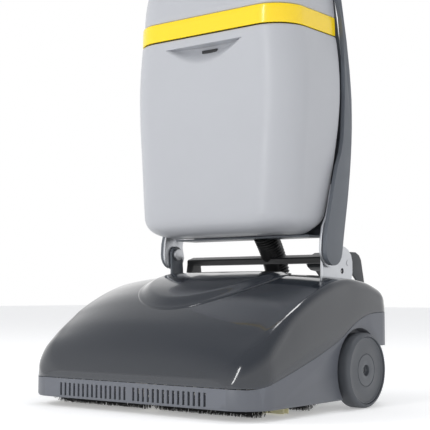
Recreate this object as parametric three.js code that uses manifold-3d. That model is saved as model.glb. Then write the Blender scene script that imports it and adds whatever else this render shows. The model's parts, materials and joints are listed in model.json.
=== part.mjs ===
// Upright wet dry floor scrubber: a low scrubbing head on two counter-rotating roller brushes and two
// transport wheels, with a tilting upright that carries a removable tank, a suction turbine and the handle.
// Millimetres, +Z up. X is across the machine, the front faces -Y and the operator stands at +Y.
// The origin is on the floor, below the middle of the machine's bounding box.
import * as THREE from "three";
import { mergeVertices } from "three/addons/utils/BufferGeometryUtils.js";
import Module from "manifold-3d";

const wasm = await Module();
wasm.setup();

// ---------------------------------------------------------------- driving dimensions
// Head shell
const HEAD_WIDTH = 488;
const OVERALL_LENGTH = 452;
const HEAD_LENGTH = 418;
const SHELL_WALL = 4;
const FRONT_CORNER_R = 56;
const REAR_CORNER_R = 40;
const SKIRT_BOTTOM_Z = 16;
const SEAM_GAP = 0.8;
const SHOULDER_R = 22;
const SIDE_TAPER = 0.085;
const COVER_CROWN = 9;
const FRONT_SEAM_Z = 48.5;
const REAR_SKIRT_Z = 100;

// Head outlines in side view, as [distance behind the head's front, height]
const COVER_EDGE = [
  [0, 62], [6, 76], [14, 89], [28, 105], [55, 124], [90, 145],
  [148, 176], [200, 197], [245, 209], [291, 214], [340, 209], [376, 199], [418, 180],
];
const SEAM_LINE = [
  [0, 48.5], [22, 48.5], [68, 60], [122, 75], [179, 92], [240, 114],
  [287, 139], [321, 151], [351, 156], [418, 158],
];

// Air slots in the skirt's front
const SLOTS_PER_SIDE = 15;
const SLOT_PITCH = 10.3;
const SLOT_WIDTH = 4.4;
const SLOT_HEIGHT = 21;
const SLOT_BASE_Z = 20;
const FIRST_SLOT_X = 9.5;

// Raised motor dome on the cover
const DOME_R = 135;
const DOME_LIP = 19;
const DOME_SETBACK = 222;
const DOME_RISE = 8;
const DOME_WALL = 3.5;

// Roller brushes
const BRUSH_LENGTH = 430;
const BRUSH_R = 52;
const CORE_R = 33;
const CORE_WALL = 3;
const SHAFT_R = 8;
const FRONT_BRUSH_SETBACK = 66;
const BRUSH_SPACING = 132;

// Drive on the right-hand side
const GEAR_TEETH = 22;
const GEAR_FACE = 6.5;
const GEAR_BACKLASH = 0.5;
const IDLER_STUB_R = 6;
const PULLEY_FACE = 7;
const BRUSH_PULLEY_R = 18;
const MOTOR_PULLEY_R = 14;
const BELT_THICKNESS = 2;
const MOTOR_R = 36;
const MOTOR_SHAFT_R = 6;
const MOTOR_SETBACK = 222;
const MOTOR_Z = 154;
const MOTOR_LEFT_X = -40;
const END_PLATE_THICKNESS = 3;

// Wheels
const WHEEL_R = 62;
const WHEEL_WIDTH = 30;
const WHEEL_OUTER_X = 260;
const WHEEL_SETBACK = 301;
const WHEEL_DISC_R = 55;
const AXLE_R = 7;
const ARCH_GAP = 8;

// Suction bar between the brushes
const SUCTION_BAR_WIDTH = 20;
const SUCTION_BAR_LENGTH = 424;
const SUCTION_BAR_TOP_Z = 104;
const LIP_THICKNESS = 3;
const LIP_CLEARANCE = 2;
const DUCT_R = 18;
const DUCT_WALL = 2.5;
const DUCT_X = -95;
const HOSE_X = 22;

// Pivot, brackets and arms
const PIVOT_SETBACK = 317;
const PIVOT_Z = 264;
const PIVOT_BOLT_R = 7;
const ARM_END_R = 26.5;
const PANEL_OUTER_X = 187;
const PANEL_THICKNESS = 7.5;
const ARM_PLATE_THICKNESS = 4;
const BRACKET_THICKNESS = 4.5;
const PLATE_GAP = 1.2;
const DECK_Z = 112;
const DECK_THICKNESS = 3;
const DECK_SIDE_GAP = 7;
const DECK_REAR_INSET = 33;

// Upright
const TANK_BOTTOM_Z = 292;
const TANK_TOP_Z = 645;
const TANK_WALL = 3.5;
const BAND_HEIGHT = 33;
const BAND_THICKNESS = 4;
const BAND_GAP = 1.8;
const COVER_TOP_Z = 838;
const TANK_CORNER_R = 60;
const TANK_REAR_CORNER_R = 10;
const BAY_GAP = 2.5;
const SHEET = 3;
const CAP_R = 34;
const NECK_R = 24;
const POCKET_R = 38;
const POCKET_DEPTH = 18;
const GRIP_HALF_WIDTH = 81;
const GRIP_DEPTH = 24;
const GRIP_TOP_Z = 628;
const GRIP_DROP = 36;
const HOSE_R = 23;

// Handle
const HANDLE_TUBE_R = 13;
const HANDLE_HALF_WIDTH = 118;
const HANDLE_LENGTH = 400;
const HANDLE_LEAN = THREE.MathUtils.degToRad(3);
const HANDLE_CORNER_R = 36;
const GRIP_SLEEVE_LENGTH = 150;
const GRIP_SLEEVE_R = 17;
const BOX_BOTTOM = 285;
const BOX_HEIGHT = 58;
const BOX_HALF_DEPTH = 16;

// Clearances
const FIT = 0.35;
const RUNNING = 0.3;
const REST_GAP = 0.5;

// ---------------------------------------------------------------- derived places
const FRONT = -OVERALL_LENGTH / 2;
const REAR = FRONT + HEAD_LENGTH;
const HALF_WIDTH = HEAD_WIDTH / 2;
const FRONT_BRUSH_Y = FRONT + FRONT_BRUSH_SETBACK;
const REAR_BRUSH_Y = FRONT_BRUSH_Y + BRUSH_SPACING;
const BRUSH_Z = BRUSH_R;
const BAR_Y = (FRONT_BRUSH_Y + REAR_BRUSH_Y) / 2;
const END_PLATE_X = BRUSH_LENGTH / 2 + 2;
const PULLEY_X = END_PLATE_X + END_PLATE_THICKNESS + 1.3;
const PULLEY_END_X = PULLEY_X + PULLEY_FACE;
const GEAR_X = PULLEY_END_X + 1;
const SHAFT_END_X = GEAR_X + GEAR_FACE + 0.6;
const MOTOR_Y = FRONT + MOTOR_SETBACK;
const WHEEL_Y = FRONT + WHEEL_SETBACK;
const WHEEL_Z = WHEEL_R;
const WHEEL_INNER_X = WHEEL_OUTER_X - WHEEL_WIDTH;
const ARCH_R = WHEEL_R + ARCH_GAP;
const WELL_WALL_X = WHEEL_INNER_X - 4.5;
const WELL_WALL = 2.5;
const DECK_HALF_WIDTH = WELL_WALL_X - WELL_WALL - DECK_SIDE_GAP;
const DOME_Y = FRONT + DOME_SETBACK;
const DOME_OPENING_R = DOME_R - DOME_LIP;
const PIVOT_Y = FRONT + PIVOT_SETBACK;
const HOSE_FOOT_Y = PIVOT_Y + 69;
const PANEL_INNER_X = PANEL_OUTER_X - PANEL_THICKNESS;
const ARM_PLATE_X = PANEL_INNER_X - PLATE_GAP - ARM_PLATE_THICKNESS;
const BRACKET_X = ARM_PLATE_X - PLATE_GAP - BRACKET_THICKNESS;
const BAY_HALF_WIDTH = ARM_PLATE_X - PLATE_GAP;
const BAND_Z = TANK_TOP_Z + BAND_GAP;
const BAND_HALF_WIDTH = PANEL_OUTER_X - 13.5;
const COVER_BASE_Z = BAND_Z + BAND_HEIGHT + 1;

// ---------------------------------------------------------------- materials
const paint = (color, roughness, metalness = 0) =>
  new THREE.MeshStandardMaterial({ color, roughness, metalness });
const GLOSS_GREY = paint(0x3d4046, 0.18);
const MATTE_GREY = paint(0x5b5e64, 0.55);
const TANK_GREY = paint(0xb9bcc2, 0.45);
const YELLOW = paint(0xf6d41c, 0.35);
const BLACK = paint(0x141414, 0.6);
const RUBBER_GREY = paint(0x50535a, 0.75);
const STEEL = paint(0xc4c6c9, 0.35, 0.9);
const ZINC = paint(0x8f9295, 0.45, 0.8);
const LIP_YELLOW = paint(0xd9d3ac, 0.5);
const BRISTLE = paint(0x101010, 0.8);
const NYLON = paint(0xe4e1d6, 0.5);

// ---------------------------------------------------------------- solids and booleans
const model = new THREE.Group();

// A closed geometry as a manifold-3d solid.
function solid(geometry) {
  const bare = geometry.index ? geometry.toNonIndexed() : geometry.clone();
  for (const name of Object.keys(bare.attributes)) {
    if (name !== "position") bare.deleteAttribute(name);
  }
  const merged = mergeVertices(bare, 1e-4);
  return new wasm.Manifold(new wasm.Mesh({
    numProp: 3,
    vertProperties: merged.attributes.position.array,
    triVerts: new Uint32Array(merged.index.array),
  }));
}

// A manifold-3d solid back as a three.js geometry.
function geometryOf(made) {
  const mesh = made.getMesh();
  const positions = new Float32Array(mesh.numVert * 3);
  for (let i = 0; i < mesh.numVert; i++) {
    positions.set(mesh.vertProperties.subarray(i * mesh.numProp, i * mesh.numProp + 3), i * 3);
  }
  return new THREE.BufferGeometry()
    .setAttribute("position", new THREE.BufferAttribute(positions, 3))
    .setIndex(new THREE.BufferAttribute(new Uint32Array(mesh.triVerts), 1));
}

// The largest body of a solid, without the slivers that a cut along a shared face leaves.
function mainBody(made) {
  return made.decompose().sort((a, b) => b.volume() - a.volume())[0];
}

// Adds one named piece to a group. The shape is a geometry or a manifold-3d solid.
function piece(name, shape, material, group = model) {
  const geometry = shape.isBufferGeometry ? shape : geometryOf(shape);
  const mesh = new THREE.Mesh(geometry, material);
  mesh.name = name;
  group.add(mesh);
  return mesh;
}

const basis = (x, y, z) => new THREE.Matrix4().makeBasis(x, y, z);
const AXIS_X = new THREE.Vector3(1, 0, 0);
const AXIS_Y = new THREE.Vector3(0, 1, 0);
const AXIS_Z = new THREE.Vector3(0, 0, 1);
const ALONG_X = basis(AXIS_Y, AXIS_Z, AXIS_X);
const ALONG_Y = basis(AXIS_Z, AXIS_X, AXIS_Y);

const extrude = (shape, depth, curveSegments = 12) =>
  new THREE.ExtrudeGeometry(shape, { depth, bevelEnabled: false, curveSegments, steps: 1 });

// A side-view outline (Y, Z) extruded from x0 to x1.
function slabX(shape, x0, x1, curveSegments) {
  return extrude(shape, x1 - x0, curveSegments).applyMatrix4(ALONG_X).translate(x0, 0, 0);
}

// A plan outline (X, Y) extruded from z0 to z1.
function slabZ(shape, z0, z1, curveSegments) {
  return extrude(shape, z1 - z0, curveSegments).translate(0, 0, z0);
}

function outline(points) {
  return new THREE.Shape(points.map(([a, b]) => new THREE.Vector2(a, b)));
}

function box(x0, x1, y0, y1, z0, z1) {
  return new THREE.BoxGeometry(x1 - x0, y1 - y0, z1 - z0)
    .translate((x0 + x1) / 2, (y0 + y1) / 2, (z0 + z1) / 2);
}

// A cylinder along X, Y or Z between two stations on that axis; a and b are the other two coordinates.
function rod(axis, r, from, to, a, b, sides = 24, endR = r) {
  const made = new THREE.CylinderGeometry(endR, r, to - from, sides)
    .rotateX(Math.PI / 2)
    .translate(0, 0, (from + to) / 2);
  if (axis === "z") return made.translate(a, b, 0);
  if (axis === "x") return made.applyMatrix4(ALONG_X).translate(0, a, b);
  return made.applyMatrix4(ALONG_Y).translate(b, 0, a);
}

// A profile of [station on the axis, radius], turned about the X axis through (y, z).
function turnedX(profile, y, z, sides = 32) {
  const made = new THREE.LatheGeometry(profile.map(([s, r]) => new THREE.Vector2(r, s)), sides);
  return made.rotateX(Math.PI / 2).applyMatrix4(ALONG_X).translate(0, y, z);
}

// A smooth curve through [a, b] points, returned as that many points.
function smooth(points, count) {
  const curve = new THREE.SplineCurve(points.map(([a, b]) => new THREE.Vector2(a, b)));
  return curve.getPoints(count).map((p) => [p.x, p.y]);
}

// The height of a polyline of [place, height] at one place.
function heightOn(line, at) {
  const last = line.length - 1;
  if (at <= line[0][0]) return line[0][1];
  for (let i = 1; i <= last; i++) {
    const [a, za] = line[i - 1];
    const [b, zb] = line[i];
    if (at <= b) return za + ((zb - za) * (at - a)) / (b - a);
  }
  return line[last][1];
}

// Triangles of a closed surface, each turned round when together they face inwards.
function facingOut(positions) {
  let volume = 0;
  const [a, b, c] = [0, 3, 6].map(() => new THREE.Vector3());
  for (let i = 0; i < positions.length; i += 9) {
    a.fromArray(positions, i);
    b.fromArray(positions, i + 3);
    c.fromArray(positions, i + 6);
    volume += a.dot(b.cross(c));
  }
  if (volume > 0) return positions;
  const turned = [];
  for (let i = 0; i < positions.length; i += 9) {
    turned.push(...positions.slice(i, i + 3), ...positions.slice(i + 6, i + 9), ...positions.slice(i + 3, i + 6));
  }
  return turned;
}

// A closed solid through rings of equal length. Both end rings are star-shaped about their middle.
function loft(rings) {
  const positions = [];
  const face = (a, b, c) => positions.push(...a, ...b, ...c);
  const middle = (ring) => [0, 1, 2].map((k) => ring.reduce((sum, p) => sum + p[k], 0) / ring.length);
  const n = rings[0].length;
  const first = rings[0];
  const final = rings[rings.length - 1];
  for (let j = 0; j < n; j++) {
    const k = (j + 1) % n;
    face(middle(first), first[k], first[j]);
    face(middle(final), final[j], final[k]);
    for (let i = 0; i + 1 < rings.length; i++) {
      face(rings[i][j], rings[i][k], rings[i + 1][j]);
      face(rings[i][k], rings[i + 1][k], rings[i + 1][j]);
    }
  }
  return solid(new THREE.BufferGeometry()
    .setAttribute("position", new THREE.Float32BufferAttribute(facingOut(positions), 3)));
}

// ---------------------------------------------------------------- head shell
const at = (setback) => FRONT + setback;
const setBack = (points) => points.map(([y, z]) => [at(y), z]);

// The head's half width at a distance behind its front.
function headHalfWidth(y) {
  const corner = (r, d) => (d < r ? r - Math.sqrt(r * r - (r - d) * (r - d)) : 0);
  return HALF_WIDTH - corner(FRONT_CORNER_R, y) - corner(REAR_CORNER_R, HEAD_LENGTH - y);
}

// One cross-section of the cover's outside, shrunk inwards by a wall.
function coverRing(y, wall) {
  const edge = heightOn(COVER_EDGE, y) - wall;
  const base = SKIRT_BOTTOM_Z;
  const half = headHalfWidth(y) - wall;
  const top = half - SIDE_TAPER * (edge - 60);
  const crown = COVER_CROWN * Math.min(1, y / 60);
  const round = SHOULDER_R * Math.min(1, 0.35 + y / 80);
  const side = [[half, base], [half, 56], [top, edge - round]];
  for (let i = 1; i <= 4; i++) {
    const turn = (i / 4) * (Math.PI / 2 - 0.12);
    side.push([top - round * (1 - Math.cos(turn)), edge - round + round * Math.sin(turn)]);
  }
  const [lastX, lastZ] = side[side.length - 1];
  for (let i = 1; i <= 3; i++) {
    const share = i / 4;
    side.push([lastX * (1 - share), lastZ + crown * Math.sin((share * Math.PI) / 2)]);
  }
  const over = [...side, [0, lastZ + crown], ...side.slice().reverse().map(([x, z]) => [-x, z])];
  return over.map(([x, z]) => [x, at(y), z]);
}

const COVER_STATIONS = [0, 2, 6, 14, 26, 42, 60, 90, 120, 148, 190, 230, 265, 291, 340, 382];
const headStations = (wall) => [
  ...COVER_STATIONS.filter((y) => y > wall || wall === 0).filter((y) => y < HEAD_LENGTH - wall - 24),
];

function headSolid(wall) {
  const ends = [24, 12, 4, 0].map((d) => HEAD_LENGTH - wall - d);
  const start = wall === 0 ? [] : [wall];
  const stations = [...start, ...headStations(wall), ...ends];
  return loft(stations.map((y) => coverRing(y, wall)));
}
const headOutside = headSolid(0);
const headInside = headSolid(SHELL_WALL);
const beyond = HALF_WIDTH + 60;

// Everything above the seam between the cover and the skirt, lifted by a gap.
function aboveSeam(gap) {
  const line = smooth(setBack(SEAM_LINE), 24).map(([y, z]) => [y, z + gap]);
  line.unshift([FRONT - 20, line[0][1]]);
  line.push([REAR + 20, line[line.length - 1][1]]);
  const shape = outline([...line, [REAR + 20, 400], [FRONT - 20, 400]]);
  return solid(slabX(shape, -beyond, beyond));
}

// The wheel arch in side view, open at the back, grown by a wall.
function archSolid(grow, x0, x1) {
  const r = ARCH_R + grow;
  const shape = outline([[WHEEL_Y, -20], [REAR + 20, -20], [REAR + 20, REAR_SKIRT_Z + grow], [WHEEL_Y, REAR_SKIRT_Z + grow]]);
  return solid(slabX(shape, x0, x1)).add(solid(rod("x", r, x0, x1, WHEEL_Y, WHEEL_Z, 36)));
}

function planOutline(inset) {
  const x = HALF_WIDTH - inset;
  const front = FRONT_CORNER_R - inset;
  const rear = REAR_CORNER_R - inset;
  const y0 = FRONT + inset;
  const y1 = REAR - inset;
  return new THREE.Shape()
    .moveTo(-x + front, y0)
    .lineTo(x - front, y0)
    .absarc(x - front, y0 + front, front, -Math.PI / 2, 0)
    .lineTo(x, y1 - rear)
    .absarc(x - rear, y1 - rear, rear, 0, Math.PI / 2)
    .lineTo(-x + rear, y1)
    .absarc(-x + rear, y1 - rear, rear, Math.PI / 2, Math.PI)
    .lineTo(-x, y0 + front)
    .absarc(-x + front, y0 + front, front, Math.PI, Math.PI * 1.5);
}

function ventSlots() {
  const top = SLOT_BASE_Z + SLOT_HEIGHT;
  let cuts = null;
  for (const side of [-1, 1]) {
    for (let i = 0; i < SLOTS_PER_SIDE; i++) {
      const x = side * (FIRST_SLOT_X + i * SLOT_PITCH);
      const cut = solid(box(x - SLOT_WIDTH / 2, x + SLOT_WIDTH / 2, FRONT - 1, FRONT + SHELL_WALL + 1, SLOT_BASE_Z, top));
      cuts = cuts ? cuts.add(cut) : cut;
    }
  }
  return cuts;
}

function skirt() {
  const plan = new THREE.ExtrudeGeometry(planOutline(2), {
    depth: 200, bevelEnabled: true, bevelSize: 2, bevelThickness: 3, bevelSegments: 1, curveSegments: 7,
  }).translate(0, 0, SKIRT_BOTTOM_Z + 3);
  let made = solid(plan).subtract(solid(slabZ(planOutline(SHELL_WALL), 0, 300, 7)));
  made = made.subtract(aboveSeam(-SEAM_GAP / 2));
  for (const side of [-1, 1]) {
    const from = side < 0 ? -HALF_WIDTH : WELL_WALL_X - WELL_WALL;
    const to = side < 0 ? -WELL_WALL_X + WELL_WALL : HALF_WIDTH;
    const cutFrom = side < 0 ? -beyond : WELL_WALL_X;
    const cutTo = side < 0 ? -WELL_WALL_X : beyond;
    const well = archSolid(WELL_WALL, from, to).intersect(solid(slabZ(planOutline(0.2), SKIRT_BOTTOM_Z, 200, 7)));
    made = made.add(well).subtract(archSolid(0, cutFrom, cutTo));
  }
  const rearCut = solid(box(-beyond, beyond, REAR - 60, REAR + 10, 0, REAR_SKIRT_Z));
  const axleHole = solid(rod("x", AXLE_R + FIT, -beyond, beyond, WHEEL_Y, WHEEL_Z));
  made = made.subtract(ventSlots()).subtract(axleHole).subtract(rearCut);
  piece("skirt", made.subtract(aboveSeam(-SEAM_GAP / 2)), MATTE_GREY);
}

const domeColumn = (r) => solid(rod("z", r, 100, 320, 0, DOME_Y, 40));

function headCover() {
  let made = headOutside.subtract(headInside).intersect(aboveSeam(SEAM_GAP / 2));
  made = made.subtract(domeColumn(DOME_OPENING_R));
  for (const side of [-1, 1]) {
    const x = side * (BRACKET_X + BRACKET_THICKNESS / 2);
    const half = BRACKET_THICKNESS / 2 + 1.5;
    made = made.subtract(solid(box(x - half, x + half, at(294), at(405), 170, 260)));
  }
  piece("head_cover", made.subtract(hoseSolid(HOSE_R + 3, 10)), GLOSS_GREY);
}

// A round bonnet that follows the cover's surface, with a stepped edge and a collar in the opening.
function motorDome() {
  const raised = (dz) => headOutside.translate([0, 0, dz]);
  let made = domeColumn(DOME_R).intersect(raised(DOME_RISE / 2));
  made = made.add(domeColumn(DOME_R - 7).intersect(raised(DOME_RISE)));
  const hollow = domeColumn(DOME_OPENING_R - FIT - DOME_WALL);
  const collar = domeColumn(DOME_OPENING_R - FIT);
  made = made.subtract(raised(FIT).subtract(collar)).subtract(raised(-12));
  made = made.subtract(hollow.intersect(raised(DOME_RISE - DOME_WALL)));
  piece("motor_dome", made.subtract(hoseSolid(HOSE_R + 3, 10)), GLOSS_GREY);
}

// ---------------------------------------------------------------- chassis
const HANGER_X = 204;

function deck() {
  const top = DECK_Z + DECK_THICKNESS;
  let made = solid(box(-DECK_HALF_WIDTH, DECK_HALF_WIDTH, at(62), REAR - DECK_REAR_INSET, DECK_Z, top));
  for (const side of [-1, 1]) {
    const x0 = side < 0 ? -HANGER_X - 5 : HANGER_X;
    const hanger = outline([[WHEEL_Y - 22, top - 1], [WHEEL_Y - 16, 48], [WHEEL_Y + 16, 48], [WHEEL_Y + 22, top - 1]]);
    made = made.add(solid(slabX(hanger, x0, x0 + 5)));
  }
  for (const x of [MOTOR_LEFT_X + 30, MOTOR_LEFT_X + 190]) {
    made = made.add(solid(box(x, x + 16, MOTOR_Y - 30, MOTOR_Y + 30, top - 1, MOTOR_Z - 12)));
  }
  made = made.subtract(solid(rod("x", MOTOR_R + FIT, MOTOR_LEFT_X, 230, MOTOR_Y, MOTOR_Z, 32)));
  made = made.subtract(solid(rod("z", DUCT_R + FIT, DECK_Z - 5, top + 5, DUCT_X, BAR_Y)));
  made = made.subtract(solid(rod("x", AXLE_R + FIT, -230, 230, WHEEL_Y, WHEEL_Z)));
  piece("deck", made, ZINC);
}

function endPlates() {
  const shape = outline([
    [at(44), 40], [at(54), 30], [at(212), 30], [at(222), 40], [at(222), 106], [at(60), 106], [at(44), 74],
  ]);
  for (const [name, side] of [["left", -1], ["right", 1]]) {
    const x0 = side < 0 ? -END_PLATE_X - END_PLATE_THICKNESS : END_PLATE_X;
    let made = solid(slabX(shape, x0, x0 + END_PLATE_THICKNESS));
    for (const y of [FRONT_BRUSH_Y, REAR_BRUSH_Y]) {
      made = made.subtract(solid(rod("x", SHAFT_R + RUNNING, x0 - 1, x0 + END_PLATE_THICKNESS + 1, y, BRUSH_Z)));
    }
    if (side > 0) {
      for (const y of idlerPlaces()) {
        made = made.add(solid(rod("x", IDLER_STUB_R, x0 + 1, SHAFT_END_X, y, BRUSH_Z, 16)));
      }
    }
    piece(`end_plate_${name}`, made, ZINC);
  }
}

function suctionBar() {
  const half = SUCTION_BAR_LENGTH / 2;
  const y0 = BAR_Y - SUCTION_BAR_WIDTH / 2;
  const y1 = BAR_Y + SUCTION_BAR_WIDTH / 2;
  const wall = 2.5;
  const bottom = 14;
  let made = solid(box(-half, half, y0, y1, bottom, SUCTION_BAR_TOP_Z));
  made = made.subtract(solid(box(-half + wall, half - wall, y0 + wall + LIP_THICKNESS, y1 - wall - LIP_THICKNESS, 0, 100)));
  for (const y of [y0 + wall, y1 - wall - LIP_THICKNESS]) {
    made = made.subtract(solid(box(-half - 1, half + 1, y, y + LIP_THICKNESS, 0, 34)));
  }
  const mouth = rod("z", DUCT_R - DUCT_WALL, 90, 120, DUCT_X, BAR_Y, 24);
  const slot = box(DUCT_X - DUCT_R, DUCT_X + DUCT_R, y0 + wall, y1 - wall, 90, 120);
  piece("suction_bar", made.subtract(solid(mouth).intersect(solid(slot))), MATTE_GREY);
  for (const [name, y] of [["front", y0 + wall], ["rear", y1 - wall - LIP_THICKNESS]]) {
    const lip = box(-half + 1, half - 1, y + FIT, y + LIP_THICKNESS - FIT, LIP_CLEARANCE, 34 - FIT);
    piece(`suction_lip_${name}`, lip, LIP_YELLOW);
  }
}

// A round solid along a curve, with one radius at each step and ends that reach out by a length.
function tubeAlong(path, radii, reach = 0) {
  const last = radii.length - 1;
  const { tangents, normals, binormals } = path.computeFrenetFrames(last, false);
  return loft(radii.map((r, i) => {
    const place = path.getPointAt(i / last);
    if (i === 0) place.addScaledVector(tangents[i], -reach);
    if (i === last) place.addScaledVector(tangents[i], reach);
    return Array.from({ length: 16 }, (_, k) => {
      const turn = (k / 16) * Math.PI * 2;
      const rim = place.clone().addScaledVector(normals[i], r * Math.cos(turn));
      return rim.addScaledVector(binormals[i], r * Math.sin(turn)).toArray();
    });
  }));
}

// The pipe from the suction bar up beside the motor and across to the hose.
function suctionDuct() {
  const z = SUCTION_BAR_TOP_Z + REST_GAP;
  const route = new THREE.CatmullRomCurve3([
    [DUCT_X, BAR_Y, z], [DUCT_X, BAR_Y, z + 26], [DUCT_X, at(165), 158], [DUCT_X + 8, at(240), 166],
    [DUCT_X + 48, at(296), 166], [HOSE_X - 18, HOSE_FOOT_Y - 52, 167], [HOSE_X - 2, HOSE_FOOT_Y - 30, 167.5],
    [HOSE_X, HOSE_FOOT_Y - 8, 176.5], [HOSE_X, HOSE_FOOT_Y, 198],
  ].map(([a, b, c]) => new THREE.Vector3(a, b, c)));
  const radii = (r) => Array(21).fill(r);
  const outer = tubeAlong(route, radii(DUCT_R - 1));
  piece("suction_duct", outer.subtract(tubeAlong(route, radii(DUCT_R - 1 - DUCT_WALL), 1)), BLACK);
}

function motor() {
  const x1 = 196;
  const profile = [
    [MOTOR_LEFT_X, 0], [MOTOR_LEFT_X, 26], [MOTOR_LEFT_X + 6, 32], [MOTOR_LEFT_X + 22, 32], [MOTOR_LEFT_X + 22, MOTOR_R],
    [x1 - 20, MOTOR_R], [x1 - 20, 31], [x1 - 6, 31], [x1, 24], [x1, MOTOR_SHAFT_R + RUNNING],
    [x1 - 26, MOTOR_SHAFT_R + RUNNING], [x1 - 26, 0],
  ];
  piece("brush_motor", turnedX(profile, MOTOR_Y, MOTOR_Z, 28), ZINC);
  const pulley = [
    [x1 - 25, 0], [x1 - 25, MOTOR_SHAFT_R], [PULLEY_X - 1.2, MOTOR_SHAFT_R], [PULLEY_X - 1.2, MOTOR_PULLEY_R + 2],
    [PULLEY_X - 0.4, MOTOR_PULLEY_R + 2], [PULLEY_X - 0.4, MOTOR_PULLEY_R], [PULLEY_END_X, MOTOR_PULLEY_R],
    [PULLEY_END_X, 0],
  ];
  piece("motor_pulley", turnedX(pulley, MOTOR_Y, MOTOR_Z, 24), STEEL);
}

function driveBelt() {
  const along = new THREE.Vector2(MOTOR_Y - REAR_BRUSH_Y, MOTOR_Z - BRUSH_Z);
  const loop = (grow) => {
    const r1 = BRUSH_PULLEY_R + grow;
    const r2 = MOTOR_PULLEY_R + grow;
    const open = Math.acos((r1 - r2) / along.length());
    const dir = along.angle();
    return new THREE.Shape()
      .absarc(REAR_BRUSH_Y, BRUSH_Z, r1, dir + open, dir - open + Math.PI * 2)
      .absarc(MOTOR_Y, MOTOR_Z, r2, dir - open, dir + open)
      .closePath();
  };
  const width = [PULLEY_X + 0.2, PULLEY_END_X - 0.3];
  const made = solid(slabX(loop(RUNNING + BELT_THICKNESS), ...width, 14));
  piece("drive_belt", made.subtract(solid(slabX(loop(RUNNING), width[0] - 1, width[1] + 1, 14))), BLACK);
}

function sprayBar() {
  let made = solid(rod("x", 4, -160, 160, at(18), 82, 12));
  for (let i = -2; i <= 2; i++) {
    made = made.add(solid(rod("z", 2.5, 75, 82, i * 70, at(15.5), 10)));
  }
  piece("spray_bar", made, BLACK);
}

// ---------------------------------------------------------------- brushes and gears
function idlerPlaces() {
  const pitch = BRUSH_SPACING / 3;
  return [FRONT_BRUSH_Y + pitch, FRONT_BRUSH_Y + 2 * pitch];
}

// A spur gear on the line of shafts. Odd places in the train are turned by half a tooth.
function gear(place, y, bore) {
  const pitchR = BRUSH_SPACING / 6;
  const size = (2 * pitchR) / GEAR_TEETH;
  const step = (Math.PI * 2) / GEAR_TEETH;
  const slack = GEAR_BACKLASH / pitchR / 2;
  const points = [];
  for (let i = 0; i < GEAR_TEETH; i++) {
    const mid = (i + (place % 2) / 2) * step;
    const corner = (r, turn) => points.push([y + r * Math.cos(mid + turn), BRUSH_Z + r * Math.sin(mid + turn)]);
    corner(pitchR - 1.25 * size, -step * 0.38 + slack);
    corner(pitchR + 0.85 * size, -step * 0.13 + slack / 2);
    corner(pitchR + 0.85 * size, step * 0.13 - slack / 2);
    corner(pitchR - 1.25 * size, step * 0.38 - slack);
  }
  return solid(slabX(outline(points), GEAR_X, GEAR_X + GEAR_FACE))
    .subtract(solid(rod("x", bore, GEAR_X - 1, GEAR_X + GEAR_FACE + 1, y, BRUSH_Z)));
}

// A hollow core on its shaft, and two bristle sleeves that leave a gap in the middle.
function brush(name, y) {
  const half = BRUSH_LENGTH / 2;
  const core = [
    [-END_PLATE_X - END_PLATE_THICKNESS - 2, 0], [-END_PLATE_X - END_PLATE_THICKNESS - 2, SHAFT_R], [-half, SHAFT_R],
    [-half, CORE_R], [half, CORE_R], [half, CORE_R - CORE_WALL], [CORE_WALL * 2 - half, CORE_R - CORE_WALL],
    [CORE_WALL * 2 - half, SHAFT_R], [SHAFT_END_X, SHAFT_R], [SHAFT_END_X, 0],
  ];
  piece(`${name}_core`, turnedX(core, y, BRUSH_Z, 20), NYLON);
  const [near, far] = [9, half - 1];
  for (const [side, x0, x1] of [["left", -far, -near], ["right", near, far]]) {
    const r = CORE_R + FIT;
    const sleeve = [[x0, r], [x0, BRUSH_R - 4], [x0 + 3, BRUSH_R], [x1 - 3, BRUSH_R], [x1, BRUSH_R - 4], [x1, r], [x0, r]];
    piece(`${name}_bristles_${side}`, turnedX(sleeve, y, BRUSH_Z, 28), BRISTLE);
  }
}

function brushes() {
  brush("front_brush", FRONT_BRUSH_Y);
  brush("rear_brush", REAR_BRUSH_Y);
  const pulley = [
    [PULLEY_X, SHAFT_R + FIT], [PULLEY_X, BRUSH_PULLEY_R], [PULLEY_END_X, BRUSH_PULLEY_R], [PULLEY_END_X, SHAFT_R + FIT],
    [PULLEY_X, SHAFT_R + FIT],
  ];
  piece("rear_brush_pulley", turnedX(pulley, REAR_BRUSH_Y, BRUSH_Z, 24), STEEL);
  const [frontIdler, rearIdler] = idlerPlaces();
  piece("front_brush_gear", gear(0, FRONT_BRUSH_Y, SHAFT_R + FIT), NYLON);
  piece("idler_gear_front", gear(1, frontIdler, IDLER_STUB_R + RUNNING), NYLON);
  piece("idler_gear_rear", gear(2, rearIdler, IDLER_STUB_R + RUNNING), NYLON);
  piece("rear_brush_gear", gear(3, REAR_BRUSH_Y, SHAFT_R + FIT), NYLON);
}

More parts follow.
